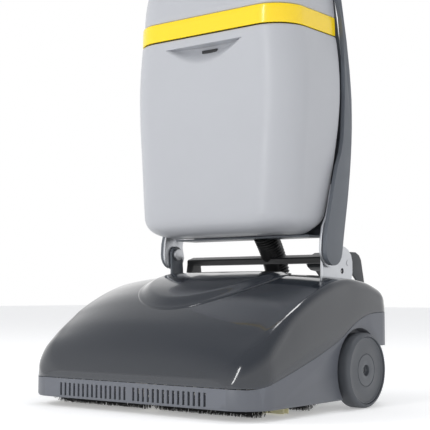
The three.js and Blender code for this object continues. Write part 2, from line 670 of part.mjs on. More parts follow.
// ---------------------------------------------------------------- wheels
function wheels() {
  const end = WHEEL_OUTER_X - 12;
  piece("wheel_axle", rod("x", AXLE_R, -end, end, WHEEL_Y, WHEEL_Z), STEEL);
  for (const [name, side] of [["left", -1], ["right", 1]]) {
    const turned = (profile, sides) => {
      const ordered = profile.map(([s, r]) => [side * s, r]);
      return turnedX(side < 0 ? ordered.reverse() : ordered, WHEEL_Y, WHEEL_Z, sides);
    };
    const bore = AXLE_R + RUNNING;
    const [inner, outer] = [WHEEL_INNER_X, WHEEL_OUTER_X];
    const disc = [
      [inner, bore], [inner, WHEEL_DISC_R], [outer - 2, WHEEL_DISC_R], [outer - 2, WHEEL_DISC_R - 3],
      [outer - 8, WHEEL_DISC_R - 6], [outer - 5, 27], [outer - 2, 27], [outer - 2, 23], [outer - 5, 21],
      [outer - 5, bore], [inner, bore],
    ];
    const tyre = [
      [inner, WHEEL_DISC_R + FIT], [inner, WHEEL_R - 4], [inner + 4, WHEEL_R], [outer - 4, WHEEL_R],
      [outer, WHEEL_R - 4], [outer, WHEEL_DISC_R + FIT], [inner, WHEEL_DISC_R + FIT],
    ];
    piece(`wheel_disc_${name}`, turned(disc, 28), RUBBER_GREY);
    piece(`wheel_tyre_${name}`, turned(tyre, 36), RUBBER_GREY);
  }
}

// ---------------------------------------------------------------- brackets, pivot and pedal
const PEDAL_PIVOT = [at(385), 244];
const PEDAL_PIN_R = 5;

function brackets() {
  const foot = DECK_Z + DECK_THICKNESS + REST_GAP;
  const boss = (from, to) => steps(from, to, 6).map((turn) => [
    PIVOT_Y + 16 * Math.cos(THREE.MathUtils.degToRad(turn)), PIVOT_Z + 16 * Math.sin(THREE.MathUtils.degToRad(turn)),
  ]);
  const right = [
    [at(294), foot], [at(390), foot], [at(396), 214], [at(400), 226], [at(400), 246], [at(396), 258],
    [at(386), 267], [at(374), 272], [at(344), 277], ...boss(70, 190), [at(300), 222],
  ];
  const left = [[at(300), foot], [at(340), foot], [at(336), 236], ...boss(0, 190), [at(303), 236]];
  for (const [name, side] of [["left", -1], ["right", 1]]) {
    const x0 = side < 0 ? -BRACKET_X - BRACKET_THICKNESS : BRACKET_X;
    const across = [x0 - 1, x0 + BRACKET_THICKNESS + 1];
    let made = solid(slabX(outline(side < 0 ? left : right), x0, x0 + BRACKET_THICKNESS));
    made = made.subtract(solid(rod("x", PIVOT_BOLT_R + RUNNING, ...across, PIVOT_Y, PIVOT_Z)));
    if (side > 0) {
      made = made.subtract(solid(rod("x", PEDAL_PIN_R + FIT, ...across, ...PEDAL_PIVOT)));
      made = made.subtract(solid(rod("x", 5, ...across, at(365), 229)));
    }
    piece(`bracket_${name}`, made, side < 0 ? MATTE_GREY : STEEL);
    const bolt = [
      [BRACKET_X - 5, 0], [BRACKET_X - 5, 11], [BRACKET_X - 0.5, 11], [BRACKET_X - 0.5, PIVOT_BOLT_R],
      [PANEL_INNER_X + 2, PIVOT_BOLT_R], [PANEL_INNER_X + 2, 0],
    ].map(([s, r]) => [side * s, r]);
    piece(`pivot_bolt_${name}`, turnedX(side < 0 ? bolt.reverse() : bolt, PIVOT_Y, PIVOT_Z, 24), STEEL);
  }
}

function pedal() {
  const [y, z] = PEDAL_PIVOT;
  const x1 = BRACKET_X - 1.2;
  const shape = outline([
    [y - 9, z - 6], [y + 2, z - 12], [at(404), z - 14], [at(436), 204], [at(OVERALL_LENGTH), 208], [at(441), 250],
    [at(434), 259], [at(422), 264], [at(401), 264], [y - 6, z + 12],
  ]);
  let made = solid(slabX(shape, 92, x1));
  made = made.subtract(solid(box(96, x1 - 4, at(400), at(500), 180, 250)));
  made = made.subtract(solid(rod("x", PEDAL_PIN_R + RUNNING, 90, x1 + 1, y, z)));
  piece("release_pedal", made, BLACK);
  piece("pedal_pin", rod("x", PEDAL_PIN_R, 88, BRACKET_X + BRACKET_THICKNESS + 0.4, y, z), STEEL);
}

// ---------------------------------------------------------------- upright: side lines
// The rear line of the side panels and the line where they meet the tank, as [height, setback].
const REAR_LINE = [
  [265, 344], [309, 353], [354, 363], [399, 371], [444, 377], [490, 380], [535, 379.5], [580, 375], [623, 367],
  [658, 361], [711, 356], [780, 347], [840, 340],
];
const TANK_LINE = [[292, 306], [316, 318], [354, 329], [400, 339], [444, 346], [490, 351], [536, 354], [608, 354], [680, 348]];
const ARM_FRONT_LINE = [[284, 292], [315, 300.5], [350, 312], [395, 325], [420, 334], [445, 348.5]];
// How far the upper ends of the side panels lean in towards the housing, as [height, distance].
const PANEL_TIP_WIDTH = 12;
const PANEL_LEAN = [[640, 0], [681, 2.5], [722, 5.5], [760, 9], [815, 18]];
const rearAt = (z) => at(heightOn(REAR_LINE, z));
const tankRearAt = (z) => at(heightOn(TANK_LINE, z));
const steps = (z0, z1, n) => Array.from({ length: n + 1 }, (_, i) => z0 + ((z1 - z0) * i) / n);

// The lower end of an arm: an arc round the pivot from the front to the back.
function armEnd(r) {
  return Array.from({ length: 10 }, (_, i) => {
    const turn = Math.PI + ((i / 9) * Math.PI * 17) / 18;
    return [PIVOT_Y + r * Math.cos(turn), PIVOT_Z + r * Math.sin(turn)];
  });
}

// The front line of a side panel: in front of the tank's back low down, and behind it where the tank is wider.
function panelFrontAt(z) {
  if (z < 445) return at(heightOn(ARM_FRONT_LINE, z));
  return z > 700 ? rearAt(z) - PANEL_TIP_WIDTH : tankRearAt(z) + BAY_GAP;
}

// Moves the upper end of a side panel in towards the middle.
function leanedIn(geometry, side) {
  const place = geometry.attributes.position;
  for (let i = 0; i < place.count; i++) {
    place.setX(i, place.getX(i) - side * heightOn(PANEL_LEAN, place.getZ(i)));
  }
  return geometry;
}

function sidePanels() {
  const upper = [681, 722, 760, 790, 812];
  const front = [...steps(284, 640, 14), ...upper].map((z) => [panelFrontAt(z), z]);
  const rear = [...steps(272, 640, 14), ...upper].map((z) => [rearAt(z), z]);
  const shape = outline([...front.reverse(), ...armEnd(ARM_END_R), ...rear]);
  const plateFront = steps(286, 380, 5).map((z) => [at(heightOn(ARM_FRONT_LINE, z)) + (z > 310 ? 4 : -3), z]).reverse();
  const plateRear = steps(280, 376, 4).map((z) => [rearAt(z) - 6, z]);
  const plate = outline([...plateFront, ...armEnd(ARM_END_R + 3), ...plateRear]);
  for (const [name, side] of [["left", -1], ["right", 1]]) {
    const x0 = side < 0 ? -PANEL_OUTER_X : PANEL_INNER_X;
    const p0 = side < 0 ? -ARM_PLATE_X - ARM_PLATE_THICKNESS : ARM_PLATE_X;
    const hole = solid(rod("x", PIVOT_BOLT_R + RUNNING, p0 - 1, p0 + ARM_PLATE_THICKNESS + 1, PIVOT_Y, PIVOT_Z));
    const b0 = side < 0 ? -PANEL_INNER_X - 2.5 : PANEL_INNER_X - 1;
    const blind = solid(rod("x", PIVOT_BOLT_R + RUNNING, b0, b0 + 3.5, PIVOT_Y, PIVOT_Z));
    const slab = leanedIn(slabX(shape, x0, x0 + PANEL_THICKNESS), side);
    piece(`side_panel_${name}`, solid(slab).subtract(blind), MATTE_GREY);
    piece(`arm_plate_${name}`, solid(slabX(plate, p0, p0 + ARM_PLATE_THICKNESS)).subtract(hole), STEEL);
  }
}

// A cross beam on the head, from bracket to bracket behind the arms, with a sloping top and a leg at each end.
function crossBeam() {
  const x = BRACKET_X - 1.2;
  const beam = outline([
    [at(347), 243], [at(369), 243], [at(369), 258], [at(366), 259.5], [at(349), 254.5], [at(347), 252],
  ]);
  let made = solid(slabX(beam, -x, x));
  for (const side of [-1, 1]) {
    const [x0, x1] = side < 0 ? [-x, 16 - x] : [x - 16, x];
    const leg = outline([[at(347), 246], [at(343), 222], [at(372), 222], [at(369), 246]]);
    made = made.add(solid(slabX(leg, x0, x1)));
  }
  piece("cross_beam", made.subtract(hoseSolid(HOSE_R + 1.5, 10)), BLACK);
}

function backPanel() {
  const top = COVER_TOP_Z - 6;
  const outer = steps(300, top, 18).map((z) => [rearAt(z) - 0.5, z]);
  const inner = steps(300, top, 18).map((z) => [rearAt(z) - SHEET, z]).reverse();
  const half = BAY_HALF_WIDTH;
  let made = solid(slabX(outline([...outer, ...inner]), -half, half));
  const shelf = box(-half, half, at(292), rearAt(302) - 1, TANK_BOTTOM_Z - 4, TANK_BOTTOM_Z - 1);
  const joint = box(-half, half, rearAt(302) - 5, rearAt(302) - 1, TANK_BOTTOM_Z - 4, 304);
  made = made.add(solid(shelf)).add(solid(joint));
  made = made.subtract(hoseSolid(HOSE_R + 1.5, 10));
  for (const side of [-1, 1]) {
    const edge = side * (PANEL_INNER_X + 2);
    const tab = box(Math.min(edge, side * 150), Math.max(edge, side * 150), PIVOT_Y - 40, REAR, 200, 296);
    made = made.subtract(solid(tab));
  }
  const narrow = housingHalf(top) - 8;
  const low = [...steps(296, 340, 1)].map((z) => [ARM_PLATE_X - PLATE_GAP - (z < 320 ? 8 : 0), z]);
  const edge = [...low, ...PANEL_LEAN.slice(0, 4).map(([z, dx]) => [half - dx, z]), [narrow, top - 18], [narrow - 16, top + 1]];
  const front = outline([[-low[0][0], 200], [low[0][0], 200], ...edge, ...edge.map(([x, z]) => [-x, z]).reverse()]);
  made = made.intersect(solid(extrude(front, 400).rotateX(Math.PI / 2).translate(0, REAR + 60, 0)));
  made = made.subtract(solid(rod("y", 8, at(320), at(380), 690, 120, 20)));
  piece("back_panel", made, MATTE_GREY);
}

// ---------------------------------------------------------------- tank
// How far the tank's and the housing's sides lie inside the side panels' outer faces, as [height, distance].
const TANK_INSETS = [[292, 23], [329, 18], [402, 12.7], [445, 10], [498, 6], [554, 4.5], [653, 12], [689, 18]];
const TANK_FRONT = at(187);

// A rounded rectangle in plan at one height.
function planRing(z, halfX, y0, y1, frontR, rearR) {
  const ring = [];
  const corner = (cx, cy, r, from) => {
    for (let i = 0; i <= 4; i++) {
      const turn = from + ((i / 4) * Math.PI) / 2;
      ring.push([cx + r * Math.cos(turn), cy + r * Math.sin(turn), z]);
    }
  };
  corner(halfX - frontR, y0 + frontR, frontR, -Math.PI / 2);
  corner(halfX - rearR, y1 - rearR, rearR, 0);
  corner(-halfX + rearR, y1 - rearR, rearR, Math.PI / 2);
  corner(-halfX + frontR, y0 + frontR, frontR, Math.PI);
  return ring;
}

function tankSolid(wall) {
  const rounding = [[0, 34], [3, 22], [9, 12.5], [18, 5.5], [32, 0]];
  const heights = [...rounding.map(([up]) => TANK_BOTTOM_Z + up), 354, 400, 450, 500, 554, 608, TANK_TOP_Z];
  const low = TANK_BOTTOM_Z + wall;
  const high = TANK_TOP_Z - wall;
  return loft(heights.map((height) => {
    const z = low + ((height - TANK_BOTTOM_Z) * (high - low)) / (TANK_TOP_Z - TANK_BOTTOM_Z);
    const inset = heightOn(rounding, height - TANK_BOTTOM_Z) + wall;
    const rearInset = Math.min(inset, wall + 8);
    const half = PANEL_OUTER_X - heightOn(TANK_INSETS, z) - inset;
    return planRing(z, half, TANK_FRONT + inset, tankRearAt(z) - rearInset, TANK_CORNER_R - wall, TANK_REAR_CORNER_R - wall / 2);
  }));
}

// The finger recess: a half moon with a straight top edge.
function gripMoon(grow, y0, y1) {
  const half = GRIP_HALF_WIDTH + grow;
  const drop = GRIP_DROP + grow;
  const r = (half * half + drop * drop) / (2 * drop);
  const top = GRIP_TOP_Z + grow;
  const points = Array.from({ length: 13 }, (_, i) => {
    const x = -half + (2 * half * i) / 12;
    return [x, GRIP_TOP_Z - drop + r - Math.sqrt(r * r - x * x)];
  });
  const shape = outline([...points, [half, top], [-half, top]]);
  return solid(extrude(shape, y1 - y0).rotateX(Math.PI / 2).translate(0, y1, 0));
}

const CAP_Y = at(268);

function tank() {
  const back = TANK_FRONT + GRIP_DEPTH;
  const outside = tankSolid(0);
  let made = outside.subtract(tankSolid(TANK_WALL));
  const latchRoom = box(-22, 22, back, back + 18, 605, 630);
  const pocket = rod("z", POCKET_R + TANK_WALL, TANK_TOP_Z - POCKET_DEPTH - TANK_WALL, TANK_TOP_Z + 5, 0, CAP_Y, 40);
  made = made.add(gripMoon(TANK_WALL, TANK_FRONT - 5, back + TANK_WALL).add(solid(latchRoom)).intersect(outside));
  made = made.subtract(gripMoon(0, TANK_FRONT - 10, back));
  made = made.subtract(solid(box(-19.5, 19.5, back + TANK_WALL, back + 15, 608, 627)));
  made = made.subtract(solid(box(-17.5, 17.5, back - 1, back + 8, 613, 622)));
  made = made.add(solid(pocket).intersect(outside));
  made = made.subtract(solid(rod("z", POCKET_R, TANK_TOP_Z - POCKET_DEPTH, TANK_TOP_Z + 5, 0, CAP_Y, 40)));
  made = made.add(solid(rod("z", NECK_R, TANK_TOP_Z - POCKET_DEPTH - 2, TANK_TOP_Z - 7, 0, CAP_Y, 32)));
  made = made.subtract(solid(rod("z", NECK_R - 3.5, TANK_TOP_Z - POCKET_DEPTH - 10, TANK_TOP_Z, 0, CAP_Y, 32)));
  piece("tank", made, TANK_GREY);

  const capTop = TANK_TOP_Z - 0.5;
  const underside = TANK_TOP_Z - 7 + 0.5;
  let cap = solid(rod("z", CAP_R, underside, capTop, 0, CAP_Y, 40));
  cap = cap.add(solid(rod("z", NECK_R + 5, TANK_TOP_Z - POCKET_DEPTH + 0.5, underside + 1, 0, CAP_Y, 32)));
  cap = cap.subtract(solid(rod("z", NECK_R + RUNNING, 600, underside, 0, CAP_Y, 32)));
  for (const side of [-1, 1]) {
    cap = cap.subtract(solid(box(-24, 24, CAP_Y + side * 13 - 7.5, CAP_Y + side * 13 + 7.5, capTop - 3.5, capTop + 1)));
  }
  piece("tank_cap", cap, BLACK);

  const latch = solid(box(-17, 17, back - 6, back + TANK_WALL + 1, 613.5, 621.5));
  piece("tank_latch", latch.add(solid(box(-19, 19, back + TANK_WALL + 0.3, back + TANK_WALL + 3.3, 611, 624))), BLACK);
}

// ---------------------------------------------------------------- band and upper housing
const HOUSING_REAR_GAP = 1;
const housingRear = (z) => rearAt(z) - SHEET - HOUSING_REAR_GAP;

function band() {
  const ring = (z, grow) => planRing(z, BAND_HALF_WIDTH + grow, TANK_FRONT - 1 - grow, at(346), TANK_CORNER_R + grow, 1);
  const outside = loft([ring(BAND_Z, 0), ring(BAND_Z + 1.5, 1.2), ring(BAND_Z + BAND_HEIGHT - 1.5, 0.2), ring(BAND_Z + BAND_HEIGHT, -1)]);
  const room = planRing(BAND_Z - 1, BAND_HALF_WIDTH - BAND_THICKNESS, TANK_FRONT - 1 + BAND_THICKNESS, at(420), TANK_CORNER_R - BAND_THICKNESS, 1);
  const inside = loft([room, room.map(([x, y]) => [x, y, BAND_Z + BAND_HEIGHT + 1])]);
  piece("yellow_band", outside.subtract(inside), YELLOW);
}

const HOUSING_INSETS = [[640, 15], [681, 15.5], [697, 16], [722, 17.5], [744, 20], [800, 28], [COVER_TOP_Z, 35]];
const housingHalf = (z) => PANEL_OUTER_X - heightOn(HOUSING_INSETS, z);

function housingSolid(wall) {
  const rounding = [[0, 0], [COVER_TOP_Z - COVER_BASE_Z - 34, 0], [COVER_TOP_Z - COVER_BASE_Z - 18, 6], [COVER_TOP_Z - COVER_BASE_Z - 6, 18], [COVER_TOP_Z - COVER_BASE_Z, 34]];
  const heights = [COVER_BASE_Z, 722, 760, ...rounding.slice(1).map(([up]) => COVER_BASE_Z + up)];
  return loft(heights.map((height) => {
    const share = (height - COVER_BASE_Z) / (COVER_TOP_Z - COVER_BASE_Z);
    const z = height - wall * share - (wall ? 1 : 0) * (1 - share);
    const inset = heightOn(rounding, height - COVER_BASE_Z) + wall;
    const front = TANK_FRONT + 1 + 40 * share * share + inset;
    return planRing(z, housingHalf(z) - inset, front, housingRear(z) - wall - inset * 0.3, TANK_CORNER_R - wall, 8 - wall / 2);
  }));
}

const HANDLE_Y = at(316);
const HANDLE_BASE = 752;

function upperHousing() {
  const corner = TANK_CORNER_R - BAND_THICKNESS;
  const tray = planRing(BAND_Z + 3, BAND_HALF_WIDTH - 7.5, TANK_FRONT + BAND_THICKNESS + 3, at(343), corner, 8);
  const room = planRing(BAND_Z + 6, BAND_HALF_WIDTH - 10.5, TANK_FRONT + BAND_THICKNESS + 6, at(340), corner - 3, 5);
  const trayTop = COVER_BASE_Z - 2;
  const rim = loft([tray, tray.map(([x, y]) => [x, y, trayTop])]);
  piece("turbine_tray", rim.subtract(loft([room, room.map(([x, y]) => [x, y, trayTop + 5])])), MATTE_GREY);
  let made = housingSolid(0).subtract(housingSolid(SHELL_WALL));
  for (const side of [-1, 1]) {
    made = made.subtract(solid(handleTubeLine(side, HANDLE_TUBE_R + 1)));
  }
  piece("upper_housing", mainBody(made), TANK_GREY);

  const turbine = [[0, 0], [58, 0], [58, 16], [52, 18], [52, 58], [40, 66], [0, 66]]
    .map(([r, s]) => new THREE.Vector2(r, BAND_Z + 7 + s));
  piece("suction_turbine", new THREE.LatheGeometry(turbine, 28).rotateX(Math.PI / 2).translate(0, at(262), 0), BLACK);
}

// ---------------------------------------------------------------- hose
// The hose's middle line, from the head cover up and forward to the shelf below the tank.
const hosePath = () => new THREE.QuadraticBezierCurve3(
  new THREE.Vector3(HOSE_X, HOSE_FOOT_Y, 200), new THREE.Vector3(HOSE_X, HOSE_FOOT_Y, 246),
  new THREE.Vector3(HOSE_X, PIVOT_Y + 24, 300),
);

const hoseSolid = (r, reach) => tubeAlong(hosePath(), Array(9).fill(r), reach);

function hose() {
  const outer = [HOSE_R - 3];
  for (let i = 0; i < 9; i++) outer.push(HOSE_R, HOSE_R - 3);
  piece("suction_hose", tubeAlong(hosePath(), outer).subtract(hoseSolid(HOSE_R - 5.5, 1)), BLACK);
}

// ---------------------------------------------------------------- handle
const handleUp = new THREE.Vector3(0, Math.sin(HANDLE_LEAN), Math.cos(HANDLE_LEAN));

function handlePoint(x, along) {
  return new THREE.Vector3(x, HANDLE_Y, HANDLE_BASE).addScaledVector(handleUp, along);
}

// Turns a shape made in the handle's own frame (X across, Z up the tubes) into place.
function onHandle(geometry) {
  return geometry.rotateX(-HANDLE_LEAN).translate(0, HANDLE_Y, HANDLE_BASE);
}

function handleTubeLine(side, r) {
  return onHandle(rod("z", r, -2, HANDLE_LENGTH - 60, side * HANDLE_HALF_WIDTH, 0, 24));
}

function handlePath() {
  const w = HANDLE_HALF_WIDTH;
  const top = HANDLE_LENGTH - HANDLE_TUBE_R;
  const r = HANDLE_CORNER_R;
  const path = new THREE.CurvePath();
  const point = (x, z) => new THREE.Vector3(x, 0, z);
  const bend = (a, b, c) => new THREE.QuadraticBezierCurve3(a, b, c);
  path.add(new THREE.LineCurve3(point(-w, 0), point(-w, top - r)));
  path.add(bend(point(-w, top - r), point(-w, top), point(-w + r, top)));
  path.add(new THREE.LineCurve3(point(-w + r, top), point(w - r, top)));
  path.add(bend(point(w - r, top), point(w, top), point(w, top - r)));
  path.add(new THREE.LineCurve3(point(w, top - r), point(w, 0)));
  return path;
}

function handle() {
  const circle = (r) => new THREE.Shape().absarc(0, 0, r, 0, Math.PI * 2);
  const sweep = (r) => solid(onHandle(new THREE.ExtrudeGeometry(circle(r), { extrudePath: handlePath(), steps: 32, curveSegments: 6 })));
  piece("handle_tube", sweep(HANDLE_TUBE_R), MATTE_GREY);
  const top = HANDLE_LENGTH - HANDLE_TUBE_R;
  const half = GRIP_SLEEVE_LENGTH / 2;
  const bore = HANDLE_TUBE_R + 2 * FIT;
  const profile = [
    [-half, bore], [-half, GRIP_SLEEVE_R - 2], [-half + 4, GRIP_SLEEVE_R], [half - 4, GRIP_SLEEVE_R],
    [half, GRIP_SLEEVE_R - 2], [half, bore], [-half, bore],
  ];
  piece("hand_grip", onHandle(turnedX(profile, 0, top, 20)), BLACK);

  const z0 = BOX_BOTTOM;
  const z1 = BOX_BOTTOM + BOX_HEIGHT;
  const depth = BOX_HALF_DEPTH;
  const boxHalf = HANDLE_HALF_WIDTH + HANDLE_TUBE_R + 5;
  const shape = new THREE.Shape()
    .moveTo(-boxHalf + 8, -depth).lineTo(boxHalf - 8, -depth).lineTo(boxHalf, -depth + 8).lineTo(boxHalf, depth - 8)
    .lineTo(boxHalf - 8, depth).lineTo(-boxHalf + 8, depth).lineTo(-boxHalf, depth - 8).lineTo(-boxHalf, -depth + 8);
  let made = solid(onHandle(slabZ(shape, z0, z1)));
  for (const side of [-1, 1]) made = made.subtract(solid(onHandle(rod("z", HANDLE_TUBE_R + FIT, z0 - 5, z1 + 5, side * HANDLE_HALF_WIDTH, 0))));
  made = made.subtract(solid(onHandle(box(-17, 17, depth - 12, depth + 5, z0 + 18, z0 + 42))));
  made = made.subtract(solid(onHandle(box(41, 79, depth - 20, depth - 3, z1 - 14, z1 + 5))));
  piece("switch_box", made, BLACK);

  const rocker = new THREE.Shape().moveTo(-15, -11).lineTo(15, -11).lineTo(15, 11).lineTo(-15, 11);
  const paddle = slabZ(rocker, 0, 8).rotateX(-Math.PI / 2).translate(0, depth - 9.5, z0 + 30);
  const key = solid(onHandle(paddle));
  piece("power_switch", key, YELLOW);

  const lever = outline([[depth - 17, z1 - 10], [depth - 6, z1 - 10], [depth - 6, z1 + 20], [depth - 12, z1 + 26], [depth - 17, z1 + 20]]);
  piece("solution_lever", onHandle(slabX(lever, 43, 77)), BLACK);
}

function cordHooks() {
  const z = 470;
  const y = rearAt(z) + 0.6;
  const hook = outline([[y, z + 9], [y + 24, z + 9], [y + 24, z - 34], [y + 18, z - 34], [y + 18, z - 9], [y, z - 9]]);
  piece("cord_hook_lower", slabX(hook, -13, 13), BLACK);
  const high = 700;
  const face = rearAt(high) + 2.8;
  const stalk = rod("y", 6, face, face + 22, high, 0, 20);
  const arm = box(-9, 9, face + 18, face + 26, high - 8, high + 40);
  piece("cord_hook_upper", solid(stalk).add(solid(arm)), BLACK);
  const gland = [[-2.6, 0], [-2.6, 7.4], [4, 7.4], [4, 13], [11, 13], [17, 9], [21, 9], [21, 5], [6, 5], [6, 0]];
  const turned = gland.map(([s, r]) => new THREE.Vector2(r, s));
  const made = new THREE.LatheGeometry(turned, 24).translate(120, rearAt(690) - 0.5, 690);
  piece("cord_gland", made, BLACK);
}

skirt();
headCover();
motorDome();
deck();
endPlates();
suctionBar();
suctionDuct();
motor();
driveBelt();
sprayBar();
brushes();
wheels();
brackets();
pedal();
sidePanels();
crossBeam();
backPanel();
tank();
band();
upperHousing();
hose();
handle();
cordHooks();

export default model;
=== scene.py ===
"""Looks of the upright wet dry floor scrubber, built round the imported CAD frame.

Shapes are worked out in millimetres, in the frame's axes, and turned into metres as each mesh is made.
"Setback" is a distance behind the head's front edge.
"""
import json
import math
import bmesh
import bpy
import numpy as np
from mathutils import Euler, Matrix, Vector

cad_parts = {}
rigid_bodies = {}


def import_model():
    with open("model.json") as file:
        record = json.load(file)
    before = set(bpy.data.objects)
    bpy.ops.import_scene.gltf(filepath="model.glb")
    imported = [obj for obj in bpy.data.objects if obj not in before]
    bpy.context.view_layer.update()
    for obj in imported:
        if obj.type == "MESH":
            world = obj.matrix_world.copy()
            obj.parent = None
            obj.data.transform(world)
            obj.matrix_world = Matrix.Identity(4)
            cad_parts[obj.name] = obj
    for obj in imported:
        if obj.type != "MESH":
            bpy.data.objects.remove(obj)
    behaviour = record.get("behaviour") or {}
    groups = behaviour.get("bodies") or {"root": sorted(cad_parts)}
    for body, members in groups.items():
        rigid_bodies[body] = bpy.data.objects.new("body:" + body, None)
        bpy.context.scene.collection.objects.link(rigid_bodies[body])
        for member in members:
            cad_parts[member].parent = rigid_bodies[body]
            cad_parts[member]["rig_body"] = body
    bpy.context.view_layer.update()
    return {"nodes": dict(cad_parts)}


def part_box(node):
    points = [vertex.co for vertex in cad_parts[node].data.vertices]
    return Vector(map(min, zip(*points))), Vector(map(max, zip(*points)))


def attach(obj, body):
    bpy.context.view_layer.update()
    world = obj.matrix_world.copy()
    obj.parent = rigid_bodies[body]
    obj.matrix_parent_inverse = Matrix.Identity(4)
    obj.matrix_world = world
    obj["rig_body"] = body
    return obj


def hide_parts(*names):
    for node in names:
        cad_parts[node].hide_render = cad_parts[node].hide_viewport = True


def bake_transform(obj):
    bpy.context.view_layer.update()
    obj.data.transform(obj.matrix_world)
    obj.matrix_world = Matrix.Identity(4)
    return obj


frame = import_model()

MM = 0.001


def cad_box(node):
    """A CAD node's lowest and highest corner, in millimetres."""
    low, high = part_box(node)
    return np.array(low) / MM, np.array(high) / MM


SKIRT_LOW, SKIRT_HIGH = cad_box("skirt")
FRONT = SKIRT_LOW[1]
HEAD_LENGTH = SKIRT_HIGH[1] - SKIRT_LOW[1]
HALF_WIDTH = SKIRT_HIGH[0]


def at(setback):
    return FRONT + setback


# ------------------------------------------------------------------ camera
CAMERA_AZIMUTH = math.radians(38.15)
CAMERA_PITCH = math.radians(4.25)
CAMERA_PLACE = (1159.65, at(-1254.95), 188.25)

camera_data = bpy.data.cameras.new("camera")
camera_data.lens = 89.11
camera_data.sensor_width = 36
camera_data.clip_start = 0.05
camera_data.clip_end = 60
camera = bpy.data.objects.new("camera", camera_data)
camera.location = Vector(CAMERA_PLACE) * MM
camera.rotation_euler = Euler((math.pi / 2 + CAMERA_PITCH, 0, CAMERA_AZIMUTH))
bpy.context.scene.collection.objects.link(camera)
bpy.context.scene.camera = camera


# ------------------------------------------------------------------ materials
class Nodes:
    """A short way to add nodes and links to one material."""

    def __init__(self, name):
        self.material = bpy.data.materials.new(name)
        self.material.use_nodes = True
        self.tree = self.material.node_tree
        self.shader = self.tree.nodes["Principled BSDF"]
        self.coords = self.tree.nodes.new("ShaderNodeTexCoord").outputs["Object"]

    def add(self, kind, **inputs):
        node = self.tree.nodes.new(kind)
        for key, value in inputs.items():
            node.inputs[key.replace("_", " ")].default_value = value
        return node

    def link(self, source, target):
        self.tree.links.new(source, target)

    def stretched(self, scale):
        mapping = self.tree.nodes.new("ShaderNodeMapping")
        mapping.inputs["Scale"].default_value = scale
        self.link(self.coords, mapping.inputs["Vector"])
        return mapping.outputs["Vector"]

    def noise(self, scale, detail=3.0, rough=0.5, coords=None):
        node = self.add("ShaderNodeTexNoise", Scale=scale, Detail=detail, Roughness=rough)
        self.link(coords or self.coords, node.inputs["Vector"])
        return node.outputs["Fac"]

    def remap(self, value, low, high, to_low, to_high):
        node = self.tree.nodes.new("ShaderNodeMapRange")
        self.link(value, node.inputs["Value"])
        for key, number in zip(("From Min", "From Max", "To Min", "To Max"), (low, high, to_low, to_high)):
            node.inputs[key].default_value = number
        return node.outputs["Result"]

    def mix(self, factor, a, b):
        node = self.tree.nodes.new("ShaderNodeMix")
        node.data_type = "RGBA"
        self.link(factor, node.inputs["Factor"])
        for socket, value in ((node.inputs[6], a), (node.inputs[7], b)):
            if isinstance(value, bpy.types.NodeSocket):
                self.link(value, socket)
            else:
                socket.default_value = (*value, 1)
        return node.outputs[2]

    def edges(self, low=0.515, high=0.56):
        """1 on convex edges and 0 on flats."""
        geometry = self.tree.nodes.new("ShaderNodeNewGeometry")
        return self.remap(geometry.outputs["Pointiness"], low, high, 0.0, 1.0)

    def bump(self, height, strength, distance, after=None):
        node = self.add("ShaderNodeBump", Strength=strength, Distance=distance)
        self.link(height, node.inputs["Height"])
        if after is not None:
            self.link(after, node.inputs["Normal"])
        return node.outputs["Normal"]


def tinted(colour, share):
    return tuple(min(1.0, c * share) for c in colour)


def plastic(name, colour, rough=0.45, grain=0.12, grain_scale=2600.0, mottle=0.05, coat=0.0, edge=1.25,
            ripple=0.0, specular=0.5):
    """Moulded plastic: faint colour clouding, fine texture, uneven gloss and rubbed edges."""
    n = Nodes(name)
    clouds = n.noise(9.0, 4.0, 0.6)
    base = n.mix(clouds, tinted(colour, 1 - mottle), tinted(colour, 1 + mottle))
    specks = n.remap(n.noise(420.0, 2.0), 0.62, 0.75, 0.0, 0.35)
    base = n.mix(specks, base, tinted(colour, 1 + 2.0 * mottle))
    wear = n.edges()
    base = n.mix(wear, base, tinted(colour, edge))
    n.link(base, n.shader.inputs["Base Color"])
    smear = n.noise(26.0, 5.0, 0.62, n.stretched((1.0, 0.45, 1.0)))
    n.link(n.remap(smear, 0.3, 0.75, rough * 0.86, min(1.0, rough * 1.2)), n.shader.inputs["Roughness"])
    normal = n.bump(n.noise(grain_scale, 2.0), grain, 0.00025)
    if ripple:
        normal = n.bump(n.noise(7.0, 1.0), ripple, 0.004, normal)
    n.link(normal, n.shader.inputs["Normal"])
    n.shader.inputs["Coat Weight"].default_value = coat
    n.shader.inputs["Coat Roughness"].default_value = 0.06
    n.shader.inputs["Specular IOR Level"].default_value = specular
    return n.material


def rubber(name, colour, rough=0.72):
    n = Nodes(name)
    base = n.mix(n.noise(14.0, 5.0, 0.65), tinted(colour, 0.88), tinted(colour, 1.12))
    base = n.mix(n.edges(), base, tinted(colour, 1.35))
    n.link(base, n.shader.inputs["Base Color"])
    n.link(n.remap(n.noise(60.0, 4.0), 0.3, 0.7, rough - 0.1, rough + 0.1), n.shader.inputs["Roughness"])
    n.link(n.bump(n.noise(1500.0, 3.0), 0.25, 0.0003), n.shader.inputs["Normal"])
    return n.material


def brushed(name, colour, rough=0.34, along=(1.0, 1.0, 60.0)):
    """Bare metal with fine brush lines."""
    n = Nodes(name)
    lines = n.noise(90.0, 6.0, 0.7, n.stretched(along))
    stain = n.noise(22.0, 4.0, 0.6)
    base = n.mix(lines, tinted(colour, 0.86), tinted(colour, 1.08))
    base = n.mix(n.remap(stain, 0.55, 0.8, 0.0, 0.35), base, tinted(colour, 0.7))
    n.link(base, n.shader.inputs["Base Color"])
    n.shader.inputs["Metallic"].default_value = 0.85
    n.link(n.remap(lines, 0.2, 0.8, rough * 0.8, rough * 1.35), n.shader.inputs["Roughness"])
    n.link(n.bump(lines, 0.12, 0.0002), n.shader.inputs["Normal"])
    return n.material


